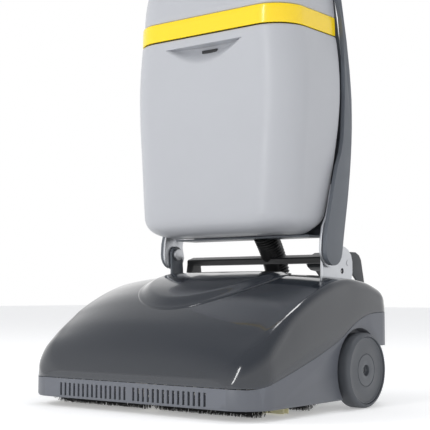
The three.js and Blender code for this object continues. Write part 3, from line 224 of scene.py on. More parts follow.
def srgb(r, g, b):
    def linear(c):
        c /= 255
        return c / 12.92 if c <= 0.04045 else ((c + 0.055) / 1.055) ** 2.4
    return tuple(linear(c) for c in (r, g, b))


GLOSS = plastic(
    "gloss_grey", srgb(40, 44, 51), rough=0.12, grain=0.02, mottle=0.04, coat=0.6, edge=1.2, ripple=0.02,
)
SKIRT = plastic("skirt_grey", srgb(92, 95, 102), rough=0.38, grain=0.14, mottle=0.05)
SHELL = plastic("shell_grey", srgb(180, 182, 187), rough=0.36, grain=0.10, mottle=0.03, edge=1.06)
FLANK = plastic("flank_grey", srgb(92, 97, 104), rough=0.40, grain=0.12, mottle=0.05)
BAND = plastic("band_yellow", srgb(248, 212, 14), rough=0.22, grain=0.015, mottle=0.03, coat=0.35, edge=1.1)
BLACK = plastic("black_plastic", srgb(26, 27, 29), rough=0.36, grain=0.16, mottle=0.1, edge=1.8)
CHARCOAL = plastic("charcoal_plastic", srgb(46, 49, 53), rough=0.45, grain=0.16, mottle=0.08, edge=1.4)
WHEEL = plastic("wheel_grey", srgb(80, 83, 88), rough=0.42, grain=0.10, mottle=0.04, edge=1.3)
TYRE = rubber("tyre_grey", srgb(72, 75, 80), 0.55)
HOSE = rubber("hose_black", srgb(16, 16, 17), 0.42)
GRIP = rubber("grip_rubber", srgb(30, 30, 32), 0.75)
LIP = rubber("lip_rubber", srgb(205, 200, 165), 0.55)
STEEL = brushed("plate_steel", srgb(205, 207, 211))
CAST = brushed("cast_metal", srgb(150, 152, 155), 0.5, (1.0, 1.0, 1.0))
NYLON = plastic("nylon", srgb(226, 223, 210), rough=0.45, grain=0.1, mottle=0.04, edge=1.03)
BRISTLE = plastic("bristle_black", srgb(10, 10, 11), rough=0.6, grain=0.2, mottle=0.2, edge=1.0)


# ------------------------------------------------------------------ mesh helpers
def finish_piece(obj, material, body, replaces=()):
    obj.data.materials.clear()
    obj.data.materials.append(material)
    if body:
        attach(obj, body)
    if replaces:
        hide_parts(*replaces)
    return obj


def smooth_by_angle(mesh, degrees=35):
    for polygon in mesh.polygons:
        polygon.use_smooth = True
    mesh.set_sharp_from_angle(angle=math.radians(degrees))


def new_mesh(name, points, faces, degrees=35):
    """A mesh object from points in millimetres, with its faces turned outwards."""
    mesh = bpy.data.meshes.new(name)
    mesh.from_pydata([tuple(float(c) * MM for c in p) for p in points], [], faces)
    work = bmesh.new()
    work.from_mesh(mesh)
    bmesh.ops.remove_doubles(work, verts=work.verts, dist=0.00001)
    bmesh.ops.recalc_face_normals(work, faces=work.faces)
    work.to_mesh(mesh)
    work.free()
    smooth_by_angle(mesh, degrees)
    obj = bpy.data.objects.new(name, mesh)
    bpy.context.scene.collection.objects.link(obj)
    return obj


def refined(node, material, name=None, bevel=0.8, segments=2, degrees=35):
    """A finer copy of a CAD node: welded, with its sharp edges rounded, standing for that node."""
    source = frame["nodes"][node]
    mesh = source.data.copy()
    work = bmesh.new()
    work.from_mesh(mesh)
    bmesh.ops.remove_doubles(work, verts=work.verts, dist=0.00002)
    bmesh.ops.dissolve_limit(work, angle_limit=math.radians(0.6), verts=work.verts, edges=work.edges)
    if bevel:
        sharp = [e for e in work.edges if len(e.link_faces) == 2 and e.calc_face_angle(0) > math.radians(28)]
        bmesh.ops.bevel(work, geom=sharp, offset=bevel * MM, segments=segments, profile=0.6,
                        affect="EDGES", clamp_overlap=True, harden_normals=False)
    bmesh.ops.recalc_face_normals(work, faces=work.faces)
    fresh = bpy.data.meshes.new(name or "look_" + node)
    work.to_mesh(fresh)
    work.free()
    bpy.data.meshes.remove(mesh)
    smooth_by_angle(fresh, degrees)
    obj = bpy.data.objects.new(name or "look_" + node, fresh)
    bpy.context.scene.collection.objects.link(obj)
    return finish_piece(obj, material, source["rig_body"], (node,))


def grid_faces(rows, columns, start=0, wrap=False):
    """Quads over a grid of points held row after row."""
    faces = []
    for i in range(rows - 1):
        for j in range(columns if wrap else columns - 1):
            k = (j + 1) % columns
            a = start + i * columns
            b = a + columns
            faces.append((a + j, a + k, b + k, b + j))
    return faces


def shell(outer, inner):
    """Points and faces of a sheet with thickness, from two grids of the same size."""
    rows, columns = outer.shape[:2]
    size = rows * columns
    points = np.concatenate([outer.reshape(-1, 3), inner.reshape(-1, 3)])
    faces = grid_faces(rows, columns) + [tuple(reversed(f)) for f in grid_faces(rows, columns, size)]
    rim = [(i, 0) for i in range(rows)] + [(rows - 1, j) for j in range(1, columns)]
    rim += [(i, columns - 1) for i in range(rows - 2, -1, -1)] + [(0, j) for j in range(columns - 2, 0, -1)]
    index = [i * columns + j for i, j in rim]
    for a, b in zip(index, index[1:] + index[:1]):
        faces.append((a, b, b + size, a + size))
    return points, faces


def curve_through(points):
    """A smooth function through [place, value] points that never overshoots."""
    x = np.array([p[0] for p in points], float)
    y = np.array([p[1] for p in points], float)
    h = np.diff(x)
    d = np.diff(y) / h
    m = np.zeros_like(x)
    m[0], m[-1] = d[0], d[-1]
    for i in range(1, len(x) - 1):
        if d[i - 1] * d[i] > 0:
            w1, w2 = 2 * h[i] + h[i - 1], h[i] + 2 * h[i - 1]
            m[i] = (w1 + w2) / (w1 / d[i - 1] + w2 / d[i])

    def value(at_x):
        at_x = min(max(at_x, x[0]), x[-1])
        i = min(len(x) - 2, int(np.searchsorted(x, at_x, side="right")) - 1)
        t = (at_x - x[i]) / h[i]
        return float((2 * t**3 - 3 * t**2 + 1) * y[i] + (t**3 - 2 * t**2 + t) * h[i] * m[i]
                     + (3 * t**2 - 2 * t**3) * y[i + 1] + (t**3 - t**2) * h[i] * m[i + 1])
    return value


def step_up(t):
    t = min(1.0, max(0.0, t))
    return t * t * (3 - 2 * t)


def lathe(name, profile, centre, axis="x", sides=96, degrees=35):
    """A profile of [station along the axis, radius], in millimetres, turned about an axis through centre."""
    turn = np.linspace(0, 2 * math.pi, sides, endpoint=False)
    points = []
    for station, radius in profile:
        for angle in turn:
            a, b = radius * math.cos(angle), radius * math.sin(angle)
            place = {"x": (station, a, b), "y": (a, station, b), "z": (a, b, station)}[axis]
            points.append([p + c for p, c in zip(place, centre)])
    closed = profile[0] == profile[-1]
    faces = grid_faces(len(profile), sides, wrap=True)
    if not closed:
        faces.append(tuple(range(sides)))
        faces.append(tuple(range((len(profile) - 1) * sides, len(profile) * sides)))
    return new_mesh(name, points, faces, degrees)


def rounded(profile, radius=1.0, steps=3):
    """A profile with each inner corner cut back and rounded."""
    made = [profile[0]]
    for before, corner, after in zip(profile, profile[1:], profile[2:]):
        p, q, r = (np.array(v, float) for v in (before, corner, after))
        a, b = p - q, r - q
        room = min(radius, np.linalg.norm(a) * 0.45, np.linalg.norm(b) * 0.45)
        if room < 0.02:
            made.append(tuple(q))
            continue
        a, b = q + a / np.linalg.norm(a) * room, q + b / np.linalg.norm(b) * room
        for i in range(steps + 1):
            t = i / steps
            made.append(tuple(a * (1 - t) ** 2 + q * 2 * t * (1 - t) + b * t * t))
    made.append(profile[-1])
    return made


# ------------------------------------------------------------------ head cover
EDGE_HEIGHT = curve_through([
    (0, 62), (6, 76), (14, 89), (28, 105), (55, 124), (90, 145), (148, 176), (200, 197), (245, 209),
    (291, 214), (340, 209), (376, 199), (418, 180),
])
CROWN = curve_through([(0, 0), (6, 1), (14, 5), (28, 9), (60, 18), (115, 20), (183, 16), (270, 11), (418, 4)])
SHOULDER_WIDTH = curve_through([(0, 38), (23, 38), (42, 40), (66, 29), (96, 20), (115, 14), (418, 13)])
SHOULDER_DROP = curve_through([(0, 11), (14, 26), (28, 38), (66, 34), (111, 22), (150, 18), (418, 17)])
SEAM_HEIGHT = curve_through([
    (0, 48.9), (22, 48.9), (68, 60.4), (122, 75.4), (179, 92.4), (240, 114.4), (287, 139.4), (321, 151.4),
    (351, 156.4), (418, 158.4),
])
FRONT_CORNER, REAR_CORNER = 56.0, 40.0
SIDE_LEAN = 6.0


def head_half(y):
    def corner(radius, distance):
        if distance >= radius:
            return 0.0
        return radius - math.sqrt(max(0.0, radius**2 - (radius - distance) ** 2))
    return HALF_WIDTH - corner(FRONT_CORNER, y) - corner(REAR_CORNER, HEAD_LENGTH - y)


def cover_top(x, y):
    """Height of the cover's top surface, away from its shoulders."""
    reach = head_half(y) - SIDE_LEAN * 0.6 - SHOULDER_WIDTH(y)
    return EDGE_HEIGHT(y) + CROWN(y) * (1 - min(1.0, abs(x) / reach) ** 3.2)


def cover_section(y):
    """One cross-section of the cover, from the right-hand seam over to the left-hand one."""
    half = head_half(y)
    width, edge, seam = SHOULDER_WIDTH(y), EDGE_HEIGHT(y), SEAM_HEIGHT(y)
    drop = min(SHOULDER_DROP(y), (edge - seam) * 0.9)
    low = edge - drop
    lean = SIDE_LEAN * min(1.0, max(0.0, (low - seam) / 60.0))
    side = [(half - lean * (i / 6) ** 1.6, seam + (low - seam) * i / 6) for i in range(6)]
    for i in range(15):
        angle = math.radians(84) * i / 14
        side.append((half - lean - width + width * math.cos(angle), low + drop * math.sin(angle)))
    last_x, last_z = side[-1]
    for i in range(1, 16):
        x = last_x * (1 - i / 15)
        share = 1 - (x / last_x) ** 3.2
        side.append((x, last_z + (edge + CROWN(y) - last_z) * share))
    ring = side + [(-x, z) for x, z in reversed(side[:-1])]
    return np.array([(x, at(y), z) for x, z in ring])


def cover_stations():
    front = [FRONT_CORNER * (1 - math.cos(math.radians(90) * i / 16)) for i in range(16)]
    rear = [HEAD_LENGTH - REAR_CORNER * (1 - math.cos(math.radians(90) * i / 12)) for i in range(12, -1, -1)]
    return front + list(np.linspace(FRONT_CORNER, HEAD_LENGTH - REAR_CORNER, 46)[:-1]) + rear


def flattened(section, y):
    """The seam line below a section, which closes the cover's front and back."""
    low = section.copy()
    low[:, 2] = SEAM_HEIGHT(y)
    return low


def build_cover():
    stations = cover_stations()
    rows = [cover_section(y) for y in stations]
    first, last = rows[0], rows[-1]
    front = [flattened(first, 0) * (1 - t) + first * t for t in (0, 0.3, 0.6, 0.85)]
    back = [last * (1 - t) + flattened(last, HEAD_LENGTH) * t for t in (0.15, 0.4, 0.7, 1)]
    outer = np.array(front + rows + back)
    middle = np.array([0, at(HEAD_LENGTH / 2), 60])
    inner = middle + (outer - middle) * np.array([0.984, 0.981, 0.972])
    inner[..., 2] = np.where(outer[..., 2] < 200, np.minimum(inner[..., 2], outer[..., 2]), inner[..., 2])
    points, faces = shell(outer, inner)
    cover = new_mesh("look_head_cover", points, faces, 50)
    return finish_piece(cover, GLOSS, "head", ("head_cover",))


# ------------------------------------------------------------------ motor dome
DOME_LOW, DOME_HIGH = cad_box("motor_dome")
DOME_R = (DOME_HIGH[0] - DOME_LOW[0]) / 2
DOME_CENTRE = (DOME_LOW[1] + DOME_HIGH[1]) / 2 - FRONT
DOME_RISE = curve_through([(88, 9), (150, 8.5), (222, 7), (290, 5), (360, 4)])
DOME_EDGE = 2.2
SLOPE_START, SLOPE_WIDTH = 0.84, 0.14


def dome_lift(x, y):
    """Height of the bonnet above the cover at one point, without its lip."""
    reach = math.hypot(x, y - DOME_CENTRE) / DOME_R
    slope = 1 - step_up((reach - SLOPE_START) / SLOPE_WIDTH)
    return DOME_EDGE + (DOME_RISE(y) - DOME_EDGE) * slope


def build_dome():
    turns = 144
    shares = [0.18 * i for i in range(1, 4)] + list(np.linspace(0.6, 0.975, 26))
    rings = []
    for share in shares:
        rings.append([(share, 0.0)] * turns)
    lip = [
        (0.986, -0.15), (0.994, -0.5), (0.999, -1.1), (1.0, -2.0), (0.996, -3.0), (0.985, -3.4),
        (0.975, -6.5),
    ]
    for share, drop in lip:
        rings.append([(share, drop)] * turns)
    points = []
    for ring in rings:
        for i, (share, drop) in enumerate(ring):
            angle = 2 * math.pi * i / turns
            x = DOME_R * share * math.cos(angle)
            y = DOME_CENTRE + DOME_R * share * math.sin(angle)
            points.append((x, at(y), cover_top(x, y) + dome_lift(x, y) + drop))
    faces = grid_faces(len(rings), turns, wrap=True)
    hub = len(points)
    points.append((0, at(DOME_CENTRE), cover_top(0, DOME_CENTRE) + dome_lift(0, DOME_CENTRE)))
    faces += [(hub, i, (i + 1) % turns) for i in range(turns)]
    base = (len(rings) - 1) * turns
    points.append((0, at(DOME_CENTRE), cover_top(0, DOME_CENTRE) - 6))
    faces += [(hub + 1, base + (i + 1) % turns, base + i) for i in range(turns)]
    dome = new_mesh("look_motor_dome", points, faces, 40)
    return finish_piece(dome, GLOSS, "head", ("motor_dome",))


# ------------------------------------------------------------------ upright shells
TANK_LOW, TANK_HIGH = cad_box("tank")
BAND_LOW, BAND_HIGH = cad_box("yellow_band")
HOUSING_LOW, HOUSING_HIGH = cad_box("upper_housing")
TANK_HALF = curve_through([
    (292, 164), (329, 169), (402, 174.2), (445, 177), (498, 181), (554, 182.5), (653, 175), (689, 169),
])
TANK_REAR = curve_through([
    (292, 306), (316, 318), (354, 329), (400, 339), (444, 346), (490, 351), (536, 354), (608, 354),
    (680, 348),
])
TANK_FRONT = TANK_LOW[1]
TANK_CORNER, TANK_REAR_CORNER = 60.0, 10.0


def plan_ring(z, half, y0, y1, front_r, rear_r, arc=14, flat=26):
    """A rounded rectangle in plan, held as one loop that starts in the middle of the back."""
    ring = []

    def line(a, b):
        for i in range(flat):
            t = i / flat
            ring.append((a[0] * (1 - t) + b[0] * t, a[1] * (1 - t) + b[1] * t, z))

    def corner(cx, cy, r, start):
        for i in range(arc):
            angle = start + math.pi / 2 * i / arc
            ring.append((cx + r * math.cos(angle), cy + r * math.sin(angle), z))
    corner(half - rear_r, y1 - rear_r, rear_r, 0)
    line((half - rear_r, y1), (-half + rear_r, y1))
    corner(-half + rear_r, y1 - rear_r, rear_r, math.pi / 2)
    line((-half, y1 - rear_r), (-half, y0 + front_r))
    corner(-half + front_r, y0 + front_r, front_r, math.pi)
    line((-half + front_r, y0), (half - front_r, y0))
    corner(half - front_r, y0 + front_r, front_r, math.pi * 1.5)
    line((half, y0 + front_r), (half, y1 - rear_r))
    return ring


def loft(name, rings, degrees=40):
    """A closed skin through rings of equal length, capped at both ends."""
    count = len(rings[0])
    points = [p for ring in rings for p in ring]
    faces = grid_faces(len(rings), count, wrap=True)
    for start in (0, (len(rings) - 1) * count):
        middle = np.mean(np.array(points[start:start + count]), axis=0)
        points.append(tuple(middle))
        hub = len(points) - 1
        faces += [(hub, start + i, start + (i + 1) % count) for i in range(count)]
    return new_mesh(name, points, faces, degrees)


GRIP_HALF, GRIP_TOP, GRIP_DROP, GRIP_DEPTH = 81.0, 628.0, 36.0, 22.0


def grip_depth(x, z):
    """How far the finger recess is sunk into the tank's front at one point."""
    across = abs(x) / GRIP_HALF
    if across >= 1 or z > GRIP_TOP:
        return 0.0
    bottom = GRIP_TOP - GRIP_DROP * (1 - across**2)
    share = (z - bottom) / max(1e-6, GRIP_TOP - bottom)
    if share <= 0:
        return 0.0
    return GRIP_DEPTH * step_up(share * 1.15) * math.sqrt(1 - across**2)


def build_tank():
    base, top = TANK_LOW[2], TANK_HIGH[2]
    rounding = [(0, 30), (0.8, 25), (2.6, 19.5), (5.2, 14.5), (8.6, 10), (13, 6), (18.5, 3), (25, 1), (32, 0)]
    heights = [(base + up, inset) for up, inset in rounding]
    heights += [(z, 0) for z in np.linspace(base + 42, GRIP_TOP - GRIP_DROP - 4, 26)]
    heights += [(z, 0) for z in np.linspace(GRIP_TOP - GRIP_DROP, GRIP_TOP, 22)]
    heights += [(GRIP_TOP + 0.5, 0), (GRIP_TOP + 3, 0)]
    heights += [(top - 5, 0), (top - 2.4, 0.25), (top - 0.8, 0.9), (top, 2.4)]
    rings = []
    for z, inset in heights:
        ring = plan_ring(z, TANK_HALF(z) - inset, TANK_FRONT + inset, at(TANK_REAR(z)) - min(inset, 8),
                         TANK_CORNER, TANK_REAR_CORNER, flat=44)
        made = []
        for x, y, height in ring:
            if y < TANK_FRONT + 1 + inset:
                y += grip_depth(x, z)
            made.append((x, y, height))
        rings.append(made)
    tank = loft("look_tank", rings, 40)
    return finish_piece(tank, SHELL, "tank", ("tank",))


def build_band():
    low, high = BAND_LOW[2], BAND_HIGH[2]
    half, front = BAND_HIGH[0], BAND_LOW[1]
    rear = BAND_HIGH[1]
    profile = [(0.4, 0.0), (0.1, 0.8), (0, 2), (0.1, 12), (0.4, 24), (0.9, 31), (1.4, high - low - 0.7),
               (2.4, high - low), (4.4, high - low), (4.4, 0.0), (0.4, 0.0)]
    rows = []
    for inset, up in profile:
        ring = plan_ring(low + up, half - inset, front + inset, rear, TANK_CORNER + 1 - inset, 1.0, arc=20)
        rows.append([p for p in ring if p[1] < rear - 0.9])
    ordered = []
    for ring in rows:
        count = len(ring)
        gaps = [math.dist(ring[i][:2], ring[(i + 1) % count][:2]) for i in range(count)]
        start = int(np.argmax(gaps)) + 1
        ordered.append([ring[(start + i) % count] for i in range(count)])
    columns = len(ordered[0])
    points = [p for ring in ordered for p in ring]
    faces = grid_faces(len(ordered), columns)
    faces.append(tuple(i * columns for i in range(len(ordered) - 1)))
    faces.append(tuple(i * columns + columns - 1 for i in range(len(ordered) - 1)))
    band = new_mesh("look_yellow_band", points, faces, 40)
    return finish_piece(band, BAND, "upright", ("yellow_band",))


REAR_LINE = curve_through([
    (265, 344), (309, 353), (354, 363), (399, 371), (444, 377), (490, 380), (535, 379.5), (580, 375),
    (623, 367), (658, 361), (711, 356), (780, 347), (840, 340),
])
HOUSING_HALF = curve_through([
    (640, 172), (681, 171.5), (697, 171), (722, 169.5), (744, 167), (800, 159), (838, 152),
])


def build_housing():
    low, high = HOUSING_LOW[2], HOUSING_HIGH[2]
    rise = high - low
    shape = [(0.0, 1.2), (0.8, 0.3), (2.4, 0)]
    shape += [(u, 0) for u in np.linspace(8, rise - 40, 16)]
    for i in range(1, 11):
        angle = math.radians(90) * i / 10
        shape.append((rise - 36 + 36 * math.sin(angle), 36 * (1 - math.cos(angle))))
    rings = []
    for up, inset in shape:
        z = low + up
        share = up / rise
        rings.append(plan_ring(z, HOUSING_HALF(z) - inset, TANK_FRONT + 1 + 40 * share**2 + inset,
                               at(REAR_LINE(z)) - 4.4 - inset * 0.3, TANK_CORNER, 8.0))
    housing = loft("look_upper_housing", rings, 45)
    return finish_piece(housing, SHELL, "upright", ("upper_housing",))


# ------------------------------------------------------------------ wheels
def build_wheels():
    for side, name in ((-1, "left"), (1, "right")):
        low, high = cad_box(f"wheel_tyre_{name}")
        centre = (0, (low[1] + high[1]) / 2, (low[2] + high[2]) / 2)
        outer = max(abs(low[0]), abs(high[0]))
        inner = min(abs(low[0]), abs(high[0]))
        radius = (high[2] - low[2]) / 2
        disc_r = (cad_box(f"wheel_disc_{name}")[1][2] - cad_box(f"wheel_disc_{name}")[0][2]) / 2

        def turned(label, profile, sides=128):
            placed = [(side * s, r) for s, r in profile]
            return lathe(label, placed, centre, "x", sides, 40)
        tread = [(inner, disc_r + 0.4), (inner, radius - 3)]
        tread += [
            (inner + 1.2, radius - 0.8), (inner + 4, radius), (outer - 9, radius), (outer - 5, radius - 0.3),
            (outer - 2.6, radius - 1.2), (outer - 1, radius - 2.8), (outer - 0.2, radius - 4.4),
            (outer, radius - 5.6), (outer - 0.4, radius - 6.2), (outer - 1.8, disc_r + 0.4),
            (inner, disc_r + 0.4),
        ]
        tyre = turned(f"look_wheel_tyre_{name}", tread)
        finish_piece(tyre, TYRE, f"wheel_{name}", (f"wheel_tyre_{name}",))
        face = [
            (inner, 7.4), (inner, disc_r), (outer - 3.2, disc_r), (outer - 2.4, disc_r - 0.8),
            (outer - 2.4, disc_r - 2), (outer - 4.0, disc_r - 3.2), (outer - 4.6, disc_r - 5),
            (outer - 4.4, 40), (outer - 3.4, 29), (outer - 3.2, 27.8), (outer - 4.2, 27.2),
            (outer - 4.2, 26.4), (outer - 3.2, 25.8), (outer - 2.8, 18), (outer - 2.6, 11),
            (outer - 3.4, 9.4), (outer - 9.0, 8.6), (outer - 10, 7.4), (inner, 7.4),
        ]
        disc = turned(f"look_wheel_disc_{name}", face)
        finish_piece(disc, WHEEL, f"wheel_{name}", (f"wheel_disc_{name}",))


# ------------------------------------------------------------------ bristles
def build_bristles(node, body, seed):
    low, high = cad_box(node)
    radius = (high[2] - low[2]) / 2
    centre_y, centre_z = (low[1] + high[1]) / 2, (low[2] + high[2]) / 2
    root = 33.4
    random = np.random.default_rng(seed)
    columns = 22
    around = 26
    points, faces = [], []
    for column in range(columns):
        x = low[0] + 4 + (high[0] - low[0] - 8) * (column + 0.5) / columns
        for turn in range(around):
            angle = 2 * math.pi * (turn + 0.5 * (column % 2) + 0.06 * column) / around
            for k in range(7):
                spread = 2.1 if k else 0.0
                lean = k * math.pi / 3
                dx, da = spread * math.cos(lean), spread * math.sin(lean)
                tip = radius - random.uniform(0.0, 2.2)
                jitter = random.uniform(-1.4, 1.4, 2)
                ends = []
                for r, grow, thick in ((root, 0.5, 0.75), (tip, 1.6, 0.45)):
                    a = angle + (da * grow + (jitter[1] if r > root else 0)) / r
                    px = min(max(x + dx * grow + (jitter[0] if r > root else 0), low[0] + 0.5), high[0] - 0.5)
                    radial = np.array([0, math.cos(a), math.sin(a)])
                    tangent = np.array([0, -math.sin(a), math.cos(a)])
                    here = np.array([px, centre_y, centre_z]) + radial * r
                    for c in range(3):
                        q = 2 * math.pi * c / 3
                        spread = math.cos(q) * np.array([1, 0, 0]) + math.sin(q) * tangent
                        ends.append(here + thick * spread)
                start = len(points)
                for p in ends:
                    off = np.array([p[1] - centre_y, p[2] - centre_z])
                    length = np.linalg.norm(off)
                    if length > radius:
                        off *= radius / length
                    points.append((min(max(p[0], low[0]), high[0]), centre_y + off[0], centre_z + off[1]))
                for c in range(3):
                    d = (c + 1) % 3
                    faces.append((start + c, start + d, start + 3 + d, start + 3 + c))
                faces.append((start + 3, start + 4, start + 5))
                faces.append((start + 2, start + 1, start))
    mesh = bpy.data.meshes.new("look_" + node)
    mesh.from_pydata([tuple(c * MM for c in p) for p in points], [], faces)
    mesh.validate()
    obj = bpy.data.objects.new("look_" + node, mesh)
    bpy.context.scene.collection.objects.link(obj)
    return finish_piece(obj, BRISTLE, body, (node,))


# ------------------------------------------------------------------ hose
HOSE_X = 22.0
PIVOT_SETBACK = 317.0


def build_hose():
    foot = np.array([HOSE_X, at(PIVOT_SETBACK + 69), 201.0])
    bend = np.array([HOSE_X, at(PIVOT_SETBACK + 69), 246.0])
    top = np.array([HOSE_X, at(PIVOT_SETBACK + 24), 299.0])
    side = np.array([1.0, 0, 0])
    pitch, outer_r, sides, steps = 5.6, 22.8, 64, 190
    places = [foot * (1 - t) ** 2 + bend * 2 * t * (1 - t) + top * t * t for t in np.linspace(0, 1, steps)]
    lengths = np.concatenate([[0], np.cumsum(np.linalg.norm(np.diff(places, axis=0), axis=1))])
    tangents = np.gradient(np.array(places), axis=0)
    rings = []
    for place, tangent, along in zip(places, tangents, lengths):
        other = np.cross(tangent / np.linalg.norm(tangent), side)
        wave = 0.5 + 0.5 * math.cos(2 * math.pi * along / pitch)
        rings.append((place, other, outer_r - 3.4 + 3.4 * wave**0.6))
    inner_r = outer_r - 5.4
    rings += [(rings[-1][0], rings[-1][1], inner_r), (rings[0][0], rings[0][1], inner_r), rings[0]]
    points = []
    for place, other, radius in rings:
        for k in range(sides):
            angle = 2 * math.pi * k / sides
            points.append(place + radius * (math.cos(angle) * side + math.sin(angle) * other))
    hose = new_mesh("look_suction_hose", points, grid_faces(len(rings), sides, wrap=True), 60)
    hose.data.materials.append(HOSE)
    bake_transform(hose)
    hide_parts("suction_hose")
    return hose


# ------------------------------------------------------------------ handle
HANDLE_LEAN = math.radians(3)
HANDLE_HALF, HANDLE_LENGTH, TUBE_R, BEND_R = 118.0, 400.0, 13.0, 36.0
HANDLE_BASE = (at(316), 752.0)


def on_handle(x, y, z):
    """A point in the handle's own frame, with z up its tubes, put in place."""
    c, s = math.cos(HANDLE_LEAN), math.sin(HANDLE_LEAN)
    return np.array([x, HANDLE_BASE[0] + y * c + z * s, HANDLE_BASE[1] - y * s + z * c])


def sweep(name, path, radius, sides=40, degrees=40):
    """A round bar along points in the handle's frame that stay in its plane."""
    path = np.array(path, float)
    tangents = np.gradient(path, axis=0)
    tangents /= np.linalg.norm(tangents, axis=1, keepdims=True)
    points = []
    for place, tangent in zip(path, tangents):
        normal = np.array([tangent[2], 0, -tangent[0]])
        for k in range(sides):
            angle = 2 * math.pi * k / sides
            offset = radius * (math.cos(angle) * normal + math.sin(angle) * np.array([0, 1, 0]))
            points.append(on_handle(*(place + offset)))
    faces = grid_faces(len(path), sides, wrap=True)
    faces.append(tuple(range(sides)))
    faces.append(tuple(range((len(path) - 1) * sides, len(path) * sides)))
    return new_mesh(name, points, faces, degrees)


def build_handle():
    w, top, r = HANDLE_HALF, HANDLE_LENGTH - TUBE_R, BEND_R
    left = [(-w, 0, z) for z in np.linspace(0, top - r, 12)]
    bend = []
    for i in range(1, 13):
        t = i / 12
        a, b, c = np.array([-w, 0, top - r]), np.array([-w, 0, top]), np.array([-w + r, 0, top])
        bend.append(tuple(a * (1 - t) ** 2 + b * 2 * t * (1 - t) + c * t * t))
    across = [(x, 0, top) for x in np.linspace(-w + r, w - r, 10)[1:-1]]
    mirror = [(-x, y, z) for x, y, z in reversed(left + bend)]
    tube = sweep("look_handle_tube", left + bend + across + mirror, TUBE_R)
    finish_piece(tube, FLANK, "upright", ("handle_tube",))
    low, high = cad_box("hand_grip")
    half = (high[0] - low[0]) / 2
    outer = 17.0
    profile = [(-half, TUBE_R + 0.7), (-half, outer - 1.5), (-half + 1.5, outer)]
    x = -half + 6
    while x < half - 8:
        profile += [(x, outer), (x + 0.8, outer - 1.3), (x + 2.2, outer - 1.3), (x + 3.0, outer)]
        x += 6.0
    profile += [(half - 1.5, outer), (half, outer - 1.5), (half, TUBE_R + 0.7), (-half, TUBE_R + 0.7)]
    sides = 48
    points = []
    for station, radius in profile:
        for k in range(sides):
            angle = 2 * math.pi * k / sides
            points.append(on_handle(station, radius * math.cos(angle), top + radius * math.sin(angle)))
    grip = new_mesh("look_hand_grip", points, grid_faces(len(profile), sides, wrap=True), 30)
    finish_piece(grip, GRIP, "upright", ("hand_grip",))


# ------------------------------------------------------------------ build everything
build_cover()
build_dome()
refined("skirt", SKIRT, bevel=0.4)
build_tank()
build_band()
build_housing()
build_wheels()
for index, (node, body) in enumerate((
    ("front_brush_bristles_left", "front_brush"), ("front_brush_bristles_right", "front_brush"),
    ("rear_brush_bristles_left", "rear_brush"), ("rear_brush_bristles_right", "rear_brush"),
)):
    build_bristles(node, body, 11 + index)
build_hose()
build_handle()
for side in ("left", "right"):
    refined(f"side_panel_{side}", FLANK, bevel=2.2, segments=3)
    refined(f"arm_plate_{side}", STEEL, bevel=0.7)
    refined(f"pivot_bolt_{side}", STEEL, bevel=0.8)
refined("bracket_left", FLANK, bevel=0.7)
refined("bracket_right", STEEL, bevel=0.7)
refined("cross_beam", BLACK, bevel=1.5, segments=3)
refined("back_panel", FLANK, bevel=0.8)
refined("release_pedal", CHARCOAL, bevel=2.0, segments=3)
refined("switch_box", BLACK, bevel=2.0, segments=3)
refined("power_switch", BAND, bevel=1.2, segments=3)
refined("solution_lever", BLACK, bevel=2.0, segments=3)
refined("tank_cap", BLACK, bevel=1.0)
refined("tank_latch", BLACK, bevel=0.8)
refined("cord_hook_lower", BLACK, bevel=1.5, segments=3)
refined("cord_hook_upper", BLACK, bevel=1.5, segments=3)
refined("cord_gland", BLACK, bevel=0.6)
KEPT = {
    "deck": CAST, "end_plate_left": CAST, "end_plate_right": CAST, "suction_bar": SKIRT,
    "suction_lip_front": LIP, "suction_lip_rear": LIP, "suction_duct": BLACK, "brush_motor": CAST,
    "drive_belt": HOSE, "spray_bar": BLACK,
    "wheel_axle": STEEL, "pedal_pin": STEEL, "front_brush_core": NYLON, "front_brush_gear": NYLON,
    "rear_brush_core": NYLON, "rear_brush_gear": NYLON, "rear_brush_pulley": CAST, "idler_gear_front": NYLON,
    "idler_gear_rear": NYLON, "motor_pulley": CAST, "turbine_tray": SKIRT, "suction_turbine": BLACK,
}
for node, material in KEPT.items():
    mesh = frame["nodes"][node].data
    mesh.materials.clear()
    mesh.materials.append(material)


# ------------------------------------------------------------------ floor, world and lights
FLOOR_GLOW = 0.3


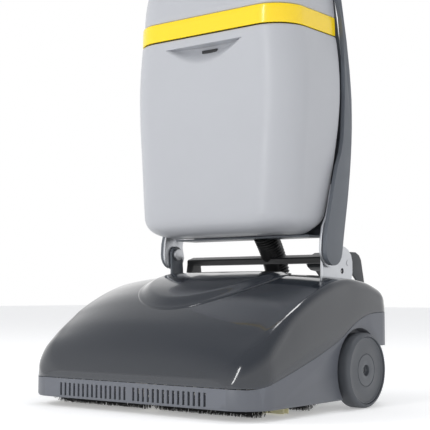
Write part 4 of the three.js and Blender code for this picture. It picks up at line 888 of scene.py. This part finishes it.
def build_stage():
    half = 12.0
    mesh = bpy.data.meshes.new("floor")
    corners = [(-half, -half, 0), (half, -half, 0), (half, half, 0), (-half, half, 0)]
    mesh.from_pydata(corners, [], [(0, 1, 2, 3)])
    floor = bpy.data.objects.new("floor", mesh)
    bpy.context.scene.collection.objects.link(floor)
    n = Nodes("floor_white")
    base = n.mix(n.noise(3.0, 2.0), (0.90, 0.90, 0.90), (0.93, 0.93, 0.93))
    n.link(base, n.shader.inputs["Base Color"])
    n.shader.inputs["Roughness"].default_value = 0.9
    n.shader.inputs["Specular IOR Level"].default_value = 0.1
    n.shader.inputs["Emission Color"].default_value = (1, 1, 1, 1)
    n.shader.inputs["Emission Strength"].default_value = FLOOR_GLOW
    mesh.materials.append(n.material)

    world = bpy.data.worlds.new("studio")
    world.use_nodes = True
    tree = world.node_tree
    background = tree.nodes["Background"]
    coords = tree.nodes.new("ShaderNodeTexCoord")
    split = tree.nodes.new("ShaderNodeSeparateXYZ")
    tree.links.new(coords.outputs["Generated"], split.inputs["Vector"])
    ramp = tree.nodes.new("ShaderNodeValToRGB")
    ramp.color_ramp.elements[0].position = 0.30
    ramp.color_ramp.elements[0].color = (1, 1, 1, 1)
    ramp.color_ramp.elements[1].position = 0.75
    ramp.color_ramp.elements[1].color = (0.42, 0.43, 0.45, 1)
    tree.links.new(split.outputs["Z"], ramp.inputs["Fac"])
    tree.links.new(ramp.outputs["Color"], background.inputs["Color"])
    background.inputs["Strength"].default_value = 1.0
    bpy.context.scene.world = world


def area_light(name, place, aim, size, power, size_y=None):
    data = bpy.data.lights.new(name, "AREA")
    data.energy = power
    data.size = size
    if size_y:
        data.shape = "RECTANGLE"
        data.size_y = size_y
    light = bpy.data.objects.new(name, data)
    light.location = place
    light.rotation_euler = (Vector(aim) - Vector(place)).to_track_quat("-Z", "Y").to_euler()
    bpy.context.scene.collection.objects.link(light)
    return light


build_stage()
key = area_light("key", (-2.6, -1.4, 2.6), (0, 0, 0.4), 1.2, 24)
key.visible_glossy = False
area_light("strip", (-0.1, -3.0, 1.4), (0.1, -0.2, 0.3), 0.2, 22, 2.4)
area_light("top", (0.2, 0.6, 2.6), (0, 0, 0.2), 0.7, 12)
bpy.context.scene.view_settings.view_transform = "Standard"
